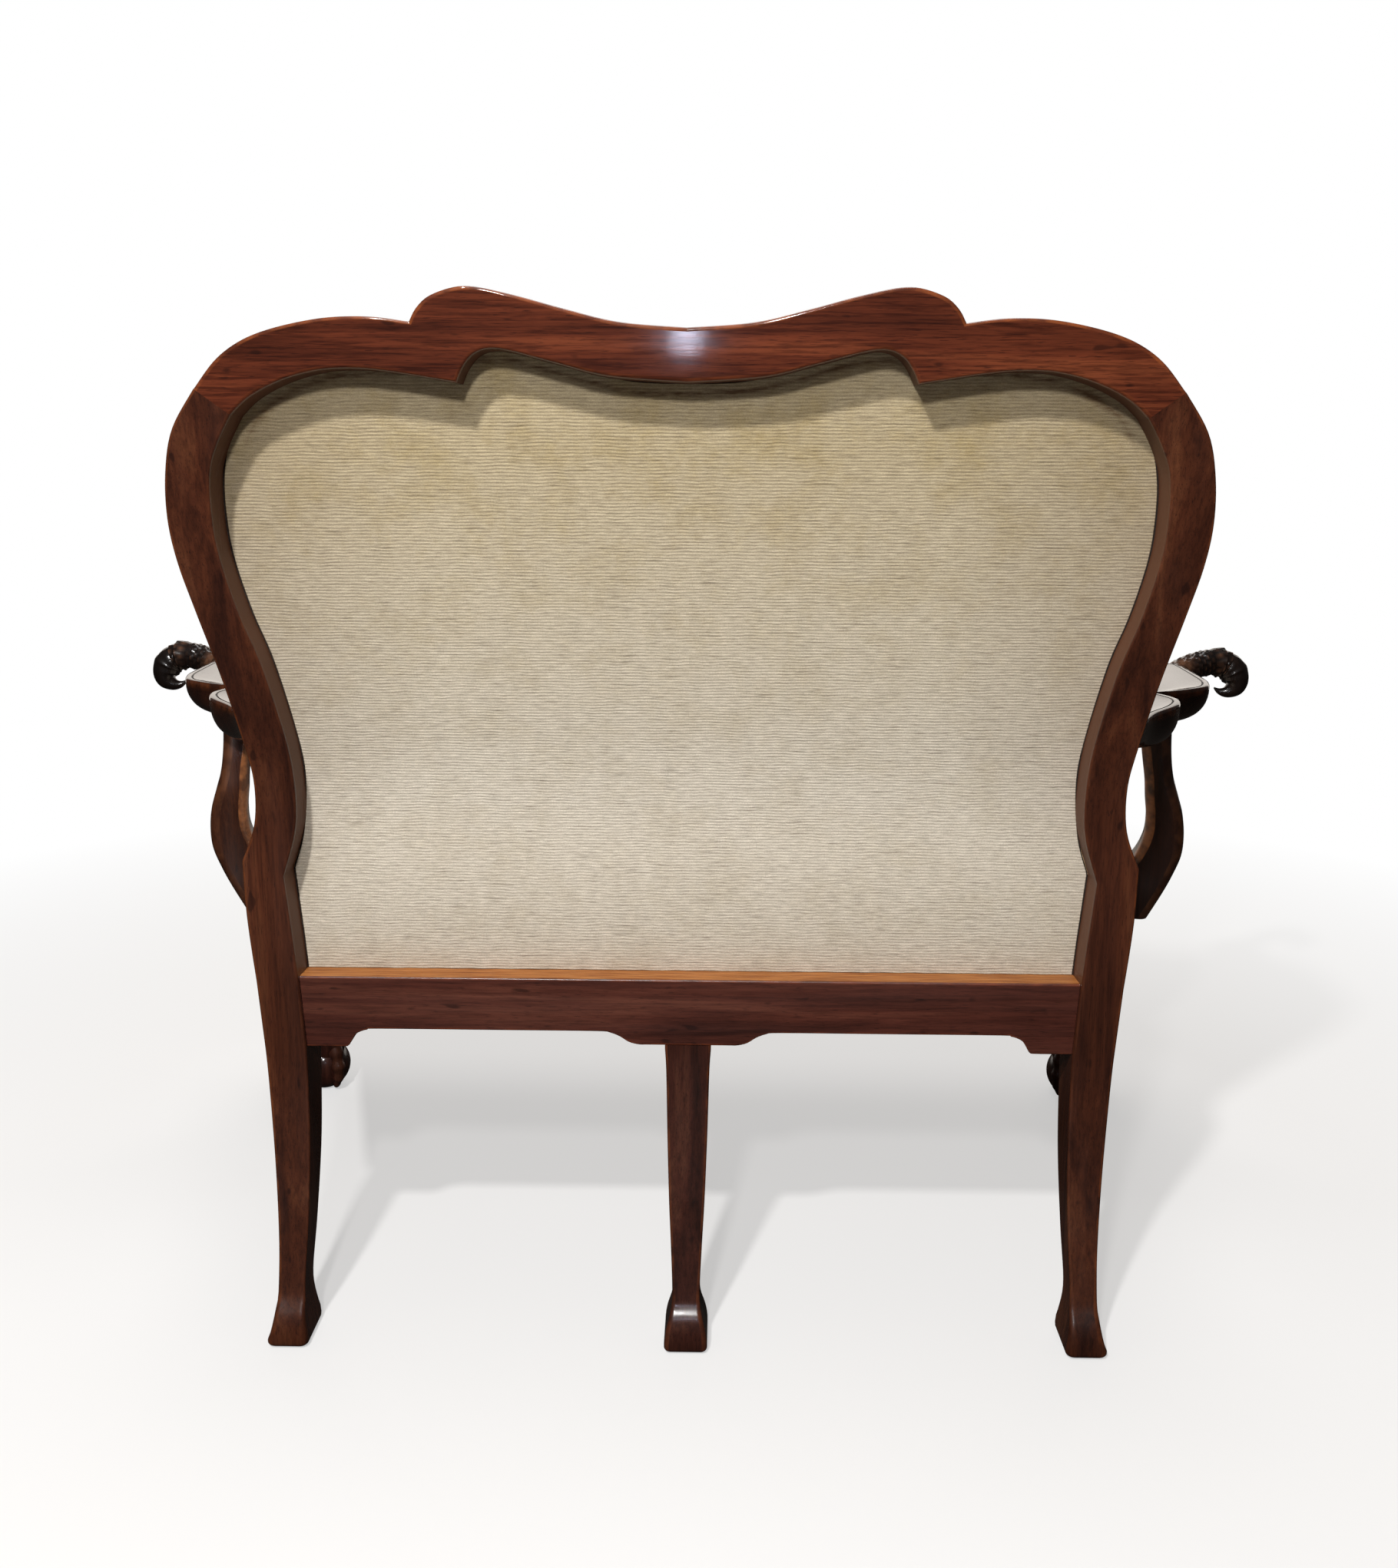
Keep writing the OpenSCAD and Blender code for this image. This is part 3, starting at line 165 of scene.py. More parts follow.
def eased_section(width, depth, radius, turns=4, hold=0.8):
    """A rectangle whose corners are quarter circles, with a point held on the flat beside each one. The wear
    is 1 on the corners and 0 on the flats."""
    sizes = np.broadcast_arrays(width, depth, radius)
    width, depth, radius = (np.asarray(size, float)[..., None] for size in sizes)
    quarter = np.linspace(0, math.pi / 2, turns + 1)
    quarter = np.concatenate([quarter[:1], quarter, quarter[-1:]])
    push = np.zeros(len(quarter))
    push[[0, -1]] = -hold, hold
    angle = (np.array([1.5, 0, 0.5, 1])[:, None] * math.pi + quarter).ravel()
    push = np.tile(push, 4)
    side = np.repeat([1, 1, 0, 0], len(quarter))
    face = np.repeat([0, 1, 1, 0], len(quarter))
    across = side * (width - 2 * radius) + radius * (1 + np.cos(angle)) - push * np.sin(angle)
    inward = face * (depth - 2 * radius) + radius * (1 + np.sin(angle)) + push * np.cos(angle)
    wear = np.where(push == 0, 1.0, 0.0)
    return across, inward, wear


def between_edges(inner, outer, across):
    """The inner edge's points, each moved a distance across towards the outer edge."""
    run = outer - inner
    unit = run / np.linalg.norm(run, axis=1, keepdims=True)
    return inner[:, None] + across[..., None] * unit[:, None]


print("points round an eased section:", len(eased_section(60, 20, 2)[2]))

# %% [markdown]
# ## Polished mahogany
# Old mahogany is a reddish ground with long darker streaks, short open pores and a French
# polish that wears to orange on the edges. The streaks and pores are noises stretched
# along the grain, in object space so that they run straight through a sawn piece; the
# polish is a thin coat over them. One value on the points says how worn the wood is: -1
# is a side that was never polished, 0 is sound polish, 1 a rubbed edge and 2 bare wood.
# Sockets are given by name or number; a map range takes 1 to 2 and gives 3 to 4.

# %% Colours and one way to add a node
def paint(code):
    """An sRGB code as linear light: a power law above a small straight start."""
    c = np.array([int(code[i:i + 2], 16) for i in (1, 3, 5)]) / 255
    linear = np.where(c <= 0.04045, c / 12.92, ((c + 0.055) / 1.055) ** 2.4)
    return (*linear.tolist(), 1.0)


def add(tree, kind, inputs=None, out=0, stops=(), **settings):
    """Adds a node, sets its sockets, links and ramp stops, and gives back one of its outputs."""
    node = tree.nodes.new("ShaderNode" + kind)
    for i, (position, colour) in enumerate(stops):
        band = node.color_ramp.elements
        stop = band[i] if i < len(band) else band.new(position)
        stop.position = position
        stop.color = colour
    for key, value in settings.items():
        setattr(node, key, value)
    for key, value in (inputs or {}).items():
        if isinstance(value, bpy.types.NodeSocket):
            tree.links.new(value, node.inputs[key])
        else:
            node.inputs[key].default_value = value
    return node.outputs[out] if node.outputs else None


def new_material(name):
    """A material with an empty node tree."""
    material = bpy.data.materials.new(name)
    material.use_nodes = True
    material.node_tree.nodes.clear()
    return material, material.node_tree


def finish_material(tree, shader):
    """Joins the shader to the material's output."""
    add(tree, "OutputMaterial", {"Surface": shader})


def per_metre(*sizes):
    """The scale that gives a pattern features of a size in millimetres: a thousand over the size."""
    scales = [1000.0 / size for size in sizes]
    return scales[0] if len(scales) == 1 else scales


BLEND = {"out": 2, "data_type": "RGBA"}
MULTIPLY = {"out": 2, "data_type": "RGBA", "blend_type": "MULTIPLY"}
print("a red brown as linear light:", [round(v, 3) for v in paint("#5b2a18")])

# %% [markdown]
# Mahogany's streaks lie about 3 mm apart in a broad figure of 3 cm, and its pores are
# short and half a millimetre wide. Those are drawn a little coarser than real, so that
# they show from two metres. The polish has the usual index of 1.5, and its roughness is
# low on the crest and the arms, which hands rub, and higher on the legs and rails.

# %% Colour of a mahogany board
def along_grain(grain, share, across=1.0):
    """Scales for a mapping: a share along the grain, and a larger one across it."""
    return [share if axis == grain else across for axis in "XYZ"]


def board_colour(tree, place, grain, browns, streaky):
    """A broad noise picks one of three browns; streaks, then pores and dents, darken it, and slow clouds
    multiply the whole."""
    along = add(tree, "Mapping", {"Vector": place, "Scale": along_grain(grain, 0.05)})
    figure = add(tree, "TexNoise", {
        "Vector": along, "Scale": per_metre(33), "Detail": 5.0, "Roughness": 0.66, "Distortion": 0.7})
    dark, middle, light = (paint(brown) for brown in browns)
    board = add(tree, "ValToRGB", {0: figure}, stops=[(0.3, dark), (0.52, middle), (0.74, light)])
    streak = add(tree, "TexNoise", {
        "Vector": along, "Scale": per_metre(2.6), "Detail": 3.0, "Roughness": 0.6, "Distortion": 0.3})
    streaks = add(tree, "ValToRGB", {0: streak},
                  stops=[(0.36, (0.3, 0.24, 0.22, 1)), (0.56, (1.08, 1.07, 1.05, 1))])
    board = add(tree, "Mix", {"Factor": streaky, 6: board, 7: streaks}, **MULTIPLY)
    pore_place = add(tree, "Mapping", {"Vector": place, "Scale": along_grain(grain, 0.03, 0.55)})
    pore = add(tree, "TexNoise", {"Vector": pore_place, "Scale": per_metre(0.4), "Detail": 1.0})
    pore = add(tree, "MapRange", {0: pore, 1: 0.62, 2: 0.7})
    dent_place = add(tree, "Mapping", {"Vector": place, "Scale": along_grain(grain, 0.35)})
    dent = add(tree, "TexNoise", {"Vector": dent_place, "Scale": per_metre(10.5), "Detail": 1.0})
    dent = add(tree, "MapRange", {0: dent, 1: 0.7, 2: 0.76})
    hollow = add(tree, "Math", {0: pore, 1: dent}, operation="MAXIMUM")
    hollow = add(tree, "Math", {0: hollow, 1: 0.6}, operation="MULTIPLY")
    board = add(tree, "Mix", {"Factor": hollow, 6: board, 7: paint("#160705")}, **BLEND)
    cloud = add(tree, "TexNoise", {"Vector": place, "Scale": per_metre(140), "Detail": 3.0})
    clouds = add(tree, "ValToRGB", {0: cloud},
                 stops=[(0.32, (0.74, 0.7, 0.7, 1)), (0.66, (1.12, 1.1, 1.06, 1))])
    board = add(tree, "Mix", {"Factor": 0.8, 6: board, 7: clouds}, **MULTIPLY)
    return board, along, streak


def worn_colour(tree, place, streak, board, worn, wear_share, side):
    """The wear value times patches rubs an edge to orange; above 1 it bares the wood, and below 0 it dulls
    it. Also gives how open the wood is, from 0 under polish to 1."""
    wear = add(tree, "Attribute", out="Fac", attribute_name="wear")
    patch = add(tree, "TexNoise", {"Vector": place, "Scale": per_metre(18), "Detail": 4.0})
    patch = add(tree, "MapRange", {0: patch, 1: 0.4, 2: 0.62, 3: 0.15, 4: 1.0})
    rubbed = add(tree, "Math", {0: wear, 1: patch}, operation="MULTIPLY", use_clamp=True)
    rubbed = add(tree, "Math", {0: rubbed, 1: wear_share}, operation="MULTIPLY")
    board = add(tree, "Mix", {"Factor": rubbed, 6: board, 7: paint(worn)}, **BLEND)
    bare = add(tree, "MapRange", {0: wear, 1: 1.0, 2: 2.0, 4: 0.85})
    raw = add(tree, "ValToRGB", {0: streak},
              stops=[(0.3, paint("#7a431e")), (0.62, paint("#b87a43"))])
    board = add(tree, "Mix", {"Factor": bare, 6: board, 7: raw}, **BLEND)
    dull = add(tree, "MapRange", {0: wear, 1: -1.0, 2: 0.0, 3: 0.88, 4: 0.0})
    board = add(tree, "Mix", {"Factor": dull, 6: board, 7: paint(side)}, **BLEND)
    return board, add(tree, "Math", {0: dull, 1: bare}, operation="MAXIMUM")


# %% Polished mahogany
def mahogany(name, browns, grain, worn="#8c4a22", gloss=0.24, wear_share=0.5, streaky=0.4,
             side="#5f3d2b", polish=0.9):
    """Wood under a coat of polish; the surface ripples over 26 mm, and streaks and specks lie on that."""
    material, tree = new_material("mahogany_" + name)
    place = add(tree, "TexCoord", out="Object")
    board, along, streak = board_colour(tree, place, grain, browns, streaky)
    board, open_wood = worn_colour(tree, place, streak, board, worn, wear_share, side)
    coat = add(tree, "MapRange", {0: open_wood, 3: polish, 4: 0.0})
    smear = add(tree, "TexNoise", {"Vector": along, "Scale": per_metre(25), "Detail": 3.0})
    rough = add(tree, "MapRange", {0: smear, 1: 0.3, 2: 0.7, 3: gloss * 0.6, 4: gloss * 1.4})
    ripple = add(tree, "TexNoise", {"Vector": place, "Scale": per_metre(26), "Detail": 2.0})
    speck = add(tree, "TexNoise", {"Vector": place, "Scale": per_metre(1.1), "Detail": 1.0})
    height = add(tree, "Math", {0: ripple, 1: 0.4}, operation="MULTIPLY")
    height = add(tree, "Math", {0: streak, 1: 0.09, 2: height}, operation="MULTIPLY_ADD")
    height = add(tree, "Math", {0: speck, 1: 0.045, 2: height}, operation="MULTIPLY_ADD")
    bump = add(tree, "Bump", {"Strength": 0.25, "Distance": 0.0006, "Height": height})
    finish_material(tree, add(tree, "BsdfPrincipled", {
        "Base Color": board, "Roughness": 0.55, "Normal": bump, "Specular IOR Level": 0.1,
        "Coat Weight": coat, "Coat Roughness": rough, "Coat Normal": bump}))
    return material


# The reddest and most streaked: the eye reads one polished board across the top
crest_wood = mahogany("crest", ("#34140a", "#5b2a18", "#753d24"), "X", gloss=0.09, streaky=0.75)
# A calmer brown, rubbed little, so that the curve of the upright shows as a clean line
upright_wood = mahogany("upright", ("#260f08", "#452213", "#5c3520"), "Z", wear_share=0.25)
# Duller, with red rubbed edges: a plain board under an old polish
rail_wood = mahogany("rail", ("#2a110c", "#4a241b", "#603629"), "X", worn="#7c3c20", gloss=0.3)
# Dark with a clear gloss, so that the curves show in the light that they throw back
leg_wood = mahogany("leg", ("#1e0d08", "#3a1c14", "#503022"), "Z", gloss=0.18, wear_share=0.2)
# Nearly black and the smoothest: the flat tops mirror the room
arm_wood = mahogany("arm", ("#160906", "#28120a", "#3c2013"), "Y", gloss=0.08, wear_share=0.3,
                    side="#0c0705")
# Black in the hollows and brown on the ridges, which brings the scales out
carved_wood = mahogany("carved", ("#080403", "#120a07", "#1f120c"), "Z", worn="#7d543b", gloss=0.2,
                       wear_share=1.0)
print("wood finishes:", [m.name for m in bpy.data.materials if m.name.startswith("mahogany_")])

# %% Placing a finished piece
def place_piece(piece, material, instead=(), body="frame"):
    """Gives a piece its finish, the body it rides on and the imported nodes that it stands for."""
    piece.data.materials.clear()
    piece.data.materials.append(material)
    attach(piece, body)
    if instead:
        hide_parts(*instead)
    return piece


def pair(name, rings, material, wear=None, instead=()):
    """The same rings on the left and, mirrored, on the right."""
    rings = np.asarray(rings, float)
    made = []
    for side, sign in (("left", 1), ("right", -1)):
        piece = skin(f"{name}_{side}", rings * [sign, 1, 1], wear)
        made.append(place_piece(piece, material, [f"{n}_{side}" for n in instead]))
    return made


# %% [markdown]
# ## The rear legs and uprights
# Each side of the back is one plank, sawn to a curve: block foot, raking leg, square
# block at the seat, and the curved upright. The two sawn edges are drawn as lines, and a
# rectangle with eased corners is carried up between them.

# %% Edges of the upright
leg_outer = batten([[0.916, 0], [0.918, 0.026], [0.9095, 0.06], [0.9, 0.13], [0.897, 0.2], [0.898, 0.33],
                    [0.9055, 0.53], [0.918, 0.8], [0.9265, 1]]) * [HALF_BACK, LEG_TOP]
leg_inner = batten([[0.83, 0], [0.828, 0.026], [0.832, 0.08], [0.837, 0.15], [0.838, 0.23], [0.834, 0.4],
                    [0.832, 0.66], [0.836, 1]]) * [HALF_BACK, LEG_TOP]
rail_outer, rail_inner = 0.936 * HALF_BACK, 0.8445 * HALF_BACK
block_outer = batten([[rail_outer, SEAT], [0.9485 * HALF_BACK, 450.3], [0.952 * HALF_BACK, CUSP]])
block_inner = batten([[rail_inner, SEAT], [0.85 * HALF_BACK, 418.8], [0.8645 * HALF_BACK, 491.3]])
upright_outer = batten(shares_of_back([
    [0.952, 0], [0.921, 0.07], [0.912, 0.153], [0.922, 0.23], [0.946, 0.355], [0.976, 0.477], [0.995, 0.562],
    [1, 0.635], [0.989, 0.711], [0.963, 0.781], [0.91, 0.845]]))
upright_inner = batten(shares_of_back([
    [0.8645, -0.029], [0.833, 0.063], [0.826, 0.153], [0.833, 0.245], [0.86, 0.379], [0.888, 0.466],
    [0.909, 0.562], [0.913, 0.632], [0.904, 0.709], [0.882, 0.757], [0.848, 0.804]]))
block_low = [leg_outer[-1], block_outer[0]], [leg_inner[-1], block_inner[0]]
edge_pairs = [(leg_outer, leg_inner, 40), (*block_low, 8), (block_outer, block_inner, 14),
              (upright_outer, upright_inner, 70)]
# Heights of the rings that round the toe
toe = (0.4, 1.1, 2.1, 3.5, 5.2)
outer_edge = chain([evenly(o, n, near=toe if o is leg_outer else ()) for o, i, n in edge_pairs])
inner_edge = chain([evenly(i, n, near=toe if i is leg_inner else ()) for o, i, n in edge_pairs])
print("points up each edge:", len(outer_edge))

# %% Side view of the legs
def leg_side(depth):
    """Back and front of a leg against height: the foot is a block with a short upright edge behind."""
    sweep_z = np.linspace(0.2, 1, 40) * LEG_TOP
    toe_z = 0.155 * LEG_TOP
    foot_back = batten([[FOOT_Y - 3, 0], [FOOT_Y, 3], [FOOT_Y, 12], [FOOT_Y - 2, 25], [FOOT_Y - 7.5, 38],
                        [float(back_y(toe_z)), toe_z]])
    back = np.vstack([foot_back, [[float(back_y(z)), z] for z in sweep_z]])
    shank = [[float(back_y(up * LEG_TOP)) - thick * depth, up * LEG_TOP]
             for thick, up in ((1, 1), (0.83, 0.65), (0.66, 0.36), (0.59, 0.2))]
    foot = [[FOOT_Y - long * 62, up * LEG_TOP] for long, up in ((0.92, 0.1), (1, 0.045), (0.97, 0))]
    front = batten(shank + foot)[::-1]

    def limits(z):
        """The back and the front of the leg, and above it of the upright, at a height."""
        rear = np.where(z < LEG_TOP, np.interp(z, back[:, 1], back[:, 0]), back_y(z))
        fore = np.where(z < LEG_TOP, np.interp(z, front[:, 1], front[:, 0]), back_y(z) - depth)
        return rear, fore
    return limits


rear, fore = leg_side(STILE_DEPTH)(np.array([20.0, 200.0]))
print("rear leg's depth at 20 and 200 mm:", (rear - fore).round(1))


def upright_rings(inner, outer, limits, radius):
    """The section's width goes from edge to edge and its depth from the back face to the front face. The
    side beside the cloth was never polished, and the inner corners are rubbed less."""
    width = np.linalg.norm(outer - inner, axis=1)
    across, inward, wear = eased_section(width, np.full_like(width, STILE_DEPTH), radius)
    flat = between_edges(inner, outer, across)
    rear, fore = limits(flat[..., 1])
    y = rear + (fore - rear) * inward / STILE_DEPTH
    beside_cloth = (np.abs(across) < 1e-6) & (wear == 0) & (flat[..., 1] > SEAT)
    wear = wear * np.repeat([1.0, 0.3], len(wear) // 2)
    return np.stack([flat[..., 0], y, flat[..., 1]], axis=-1), np.where(beside_cloth, -1.0, wear)


def worn_toe(rings, round_over=6.0):
    """Draws each ring near the floor in towards its middle by the sagitta of a quarter circle."""
    middle = rings.mean(axis=1, keepdims=True)
    short = np.clip(1 - middle[..., 2:] / round_over, 0, 1)
    inset = round_over * (1 - np.sqrt(1 - short ** 2))
    reach = np.abs(rings - middle).max(axis=1, keepdims=True)[..., :2]
    rings[..., :2] += (middle - rings)[..., :2] * inset / reach
    return rings


# %% Rear legs
# Corners are rounder in the lowest 80 mm, where shoes and brooms knock them
corner_radius = 2.2 + 5.0 * np.clip(1 - outer_edge[:, 1] / 80, 0, 1)
rings, wear = upright_rings(inner_edge, outer_edge, leg_side(STILE_DEPTH), corner_radius)
rings = worn_toe(rings)
rear_legs = pair("rear_upright", rings, upright_wood, wear, ["rear_leg"])
print("rear upright rings:", rings.shape)

# %% [markdown]
# ## The crest rail
# One board spans both shoulders. Its top edge rises to two humps with a small cusp
# outside each, and its lower edge follows with cusps of its own. Top and lower edges are
# drawn for the left half and mirrored.

# %% Crest rail
shoulder_top = [[0.91, 0.845], [0.855, 0.895], [0.782, 0.929], [0.672, 0.951], [0.578, 0.955],
                [0.501, 0.9475]]
hump_top = [[0.501, 0.9475], [0.485, 0.969], [0.455, 0.988], [0.395, 1], [0.314, 0.988], [0.2195, 0.967],
            [0.122, 0.948], [0, 0.94]]
shoulder_under = [[0.848, 0.804], [0.809, 0.832], [0.746, 0.858], [0.673, 0.874], [0.601, 0.8765],
                  [0.537, 0.871], [0.4695, 0.862], [0.423, 0.8555]]
hump_under = [[0.423, 0.8555], [0.411, 0.8765], [0.391, 0.897], [0.361, 0.907], [0.319, 0.903],
              [0.237, 0.885], [0.141, 0.8655], [0, 0.857]]


def crest_edge(shoulder, hump):
    """The shoulder's batten up to the cusp, the hump's batten from there, and both again mirrored."""
    shoulder, hump = (batten(shares_of_back(part)) for part in (shoulder, hump))
    half = chain([evenly(shoulder, 44, 1.0), evenly(hump, 60, 1.0)])
    return np.vstack([half, half[-2::-1] * [-1, 1]])


def leaning(z):
    """The back and the front face of the crest at a height."""
    rear = back_y(z)
    return rear, rear - STILE_DEPTH


under_edge, top_edge = crest_edge(shoulder_under, hump_under), crest_edge(shoulder_top, hump_top)
rings, wear = upright_rings(under_edge, top_edge, leaning, 3.2)
crest = place_piece(skin("crest", rings, wear), crest_wood, ["crest_rail"])
print("crest rings:", rings.shape)

# %% [markdown]
# ## The rear seat rail and the middle leg
# The rail is a thick board whose lower edge is sawn to flat arches between three ears.
# Its worn top shows below the cloth. The middle leg grows out of the middle ear and has
# the same side view as the outer legs.

# %% Rear seat rail
RAIL_DEPTH = 72.0
rail_low_end = 0.836 * HALF_BACK
arch = batten([[1, 0], [0.9, 0], [0.89, 0.1], [0.881, 0.4], [0.872, 0.68], [0.857, 0.85], [0.839, 0.95],
               [0.81, 1], [0.5, 1], [0.245, 1], [0.205, 0.93], [0.178, 0.72], [0.155, 0.42], [0.128, 0.28],
               [0.11, 0.28], [0, 0.28]], 4) * [rail_low_end, 20.0] + [0, LEG_TOP]
arch = evenly(arch, 120)
arch = np.vstack([arch, arch[-2::-1] * [-1, 1]])
rail_top = np.stack([arch[:, 0] * rail_inner / rail_low_end, np.full(len(arch), SEAT)], axis=1)
rail_height = np.linalg.norm(rail_top - arch, axis=1)
across, inward, wear = eased_section(rail_height, RAIL_DEPTH, 1.6)
wear = np.where((across > rail_height[:, None] - 1e-6) & (wear == 0), 2.0, wear)
flat = between_edges(arch, rail_top, across)
at_back = 1 - inward / RAIL_DEPTH
at_top = np.clip((flat[..., 1] - SEAT + 20) / 20, 0, 1)
y = RAIL_Y - inward - RAIL_SET_IN * at_back
rings = np.stack([flat[..., 0], y, flat[..., 1] + 2.5 * at_back * at_top], axis=-1)
rail = place_piece(skin("rear_rail", rings, wear), rail_wood, ["rear_seat_rail"])
print("rail rings:", rings.shape)

# %% Middle rear leg
MIDDLE_LEG_DEPTH = 46.0
half_width = batten([[1, 1], [0.94, 0.92], [0.87, 0.7], [0.78, 0.5], [0.68, 0.35], [0.6, 0.21], [0.63, 0.15],
                     [0.85, 0.08], [0.94, 0.03], [0.92, 0]]) * [24.0, LEG_TOP]
half_width = evenly(np.vstack([[[24.0, 311.6]], half_width])[::-1], 60, near=toe)
corner_radius = 2.2 + 3.0 * np.clip(1 - half_width[:, 1] / 80, 0, 1)
across, inward, wear = eased_section(2 * half_width[:, 0], MIDDLE_LEG_DEPTH, corner_radius)
z = np.broadcast_to(half_width[:, 1:2], across.shape)
rear, fore = leg_side(MIDDLE_LEG_DEPTH)(z)
set_in = RAIL_SET_IN * np.clip((z - 150) / 150, 0, 1)
y = rear - set_in + (fore - rear) * inward / MIDDLE_LEG_DEPTH
rings = worn_toe(np.stack([across - half_width[:, :1], y, z], axis=-1))
middle_leg = place_piece(skin("middle_rear_leg", rings, wear), leg_wood, ["centre_rear_leg"])
print("middle leg rings:", rings.shape)

# %% [markdown]
# ## Plain rails and brackets
# The side rails, the front rail and the knee brackets already have their true shape in
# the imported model. A copy of each gets the one thing that a solid lacks: eased edges.
# The brackets also lean three millimetres to the knee, which draws away from them.

# %% Rails and brackets with eased edges
def eased_copy(node, material, width=1.4, lean=(0, 0, 0)):
    """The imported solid, its doubles merged and flat faces joined, with a small bevel on each sharp edge.
    Each point moves by the lean times its distance below the top."""
    work = bmesh.new()
    work.from_mesh(nodes[node].data)
    bmesh.ops.remove_doubles(work, verts=work.verts, dist=1e-5)
    bmesh.ops.dissolve_limit(work, angle_limit=math.radians(1), verts=work.verts, edges=work.edges)
    mesh = bpy.data.meshes.new(node + "_eased")
    work.to_mesh(mesh)
    work.free()
    points = np.empty(len(mesh.vertices) * 3)
    mesh.vertices.foreach_get("co", points)
    points = points.reshape(-1, 3)
    points = points + np.outer(points[:, 2].max() - points[:, 2], lean)
    mesh.vertices.foreach_set("co", points.ravel())
    mesh.polygons.foreach_set("use_smooth", np.ones(len(mesh.polygons), bool))
    piece = bpy.data.objects.new(node + "_eased", mesh)
    bpy.context.scene.collection.objects.link(piece)
    bevel = piece.modifiers.new("eased edges", "BEVEL")
    bevel.width = width * 0.001
    bevel.segments = 2
    bevel.angle_limit = math.radians(35)
    piece.modifiers.new("flat faces stay flat", "WEIGHTED_NORMAL")
    return place_piece(piece, material, [node])


# Little polish is left on the sides, so they look dry; the front rail keeps more of it
side_wood = mahogany("side", ("#2a1410", "#46261e", "#5c362a"), "Y", gloss=0.36, polish=0.35)
front_wood = mahogany("front", ("#2c1610", "#4e2a1e", "#66382a"), "X", gloss=0.26, polish=0.6)
eased_copy("side_rail_left", side_wood)
eased_copy("side_rail_right", side_wood)
eased_copy("front_seat_rail", front_wood)
# Millimetres towards the knee for each millimetre down
LEAN = 0.05
brackets = [n for n in nodes if n.startswith("knee_bracket")]
for bracket in brackets:
    outwards = LEAN if "left" in bracket else -LEAN
    to_knee = (outwards, 0, 0) if "front" in bracket else (0, -LEAN, 0)
    eased_copy(bracket, leg_wood, 2.0, to_knee)
print("eased: three rails and", len(brackets), "brackets")

# %% [markdown]
# ## Front legs with ball and claw
# A cabriole leg is one S-curve seen from the corner: the knee swells outwards, the ankle
# draws back, and four talons grip a ball. The shank is a loft of squares whose corners
# grow rounder towards the ankle; each talon is a tube that swells at its knuckles.

# %% Front leg sizes
LEG_X, LEG_Y, BLOCK = 555.0, -324.41, 62.0
BALL = 37.0
ball_shift = 0.13 * BLOCK * math.sqrt(0.5)
ball_middle = np.array([LEG_X - ball_shift, LEG_Y + ball_shift, BALL * 0.92])
# Share of the leg's height, least and greatest reach as shares of the block, power of the round
cabriole = batten([[1, -0.5, 0.5, 0.12], [0.94, -0.5, 0.6, 0.2], [0.88, -0.49, 0.66, 0.35],
                   [0.81, -0.455, 0.665, 0.5], [0.72, -0.42, 0.535, 0.62], [0.6, -0.43, 0.345, 0.7],
                   [0.49, -0.49, 0.175, 0.78], [0.39, -0.6, 0.01, 0.85], [0.31, -0.665, -0.09, 0.9],
                   [0.26, -0.66, -0.07, 0.95], [0.22, -0.64, 0.03, 1], [0.17, -0.57, 0.25, 1],
                   [0.12, -0.46, 0.34, 1]])[::-1]
print("rings of the shank:", len(cabriole))


def shank_rings(table, sides=64):
    """Cosine and sine are raised to a power below one, which squares the round, and are then spread between
    the least and the greatest reach."""
    turn = np.linspace(0, 2 * math.pi, sides, endpoint=False)
    power = table[:, 3:4]
    c = np.sign(np.cos(turn)) * np.abs(np.cos(turn)) ** power
    s = np.sign(np.sin(turn)) * np.abs(np.sin(turn)) ** power
    low, high = table[:, 1:2], table[:, 2:3]
    out = low + (high - low) * (1 + c) / 2
    forward = low + (high - low) * (1 - s) / 2
    z = np.broadcast_to(table[:, :1] * LEG_TOP, out.shape)
    return np.stack([LEG_X + out * BLOCK, LEG_Y - forward * BLOCK, z], axis=-1)


def tube(path, radius, sides=20):
    """Circles square to a path: one direction is the cross product of the path and Y, the other of both."""
    path = np.asarray(path, float)
    along = np.gradient(path, axis=0)
    along /= np.linalg.norm(along, axis=1, keepdims=True)
    first = np.cross(along, [0, 1, 0])
    first /= np.linalg.norm(first, axis=1, keepdims=True)
    second = np.cross(along, first)
    turn = np.linspace(0, 2 * math.pi, sides, endpoint=False)[None, :, None]
    radius = np.asarray(radius, float)
    radius = radius[:, None, None] if radius.ndim == 1 else radius[..., None]
    return path[:, None] + radius * (first[:, None] * np.cos(turn) + second[:, None] * np.sin(turn))


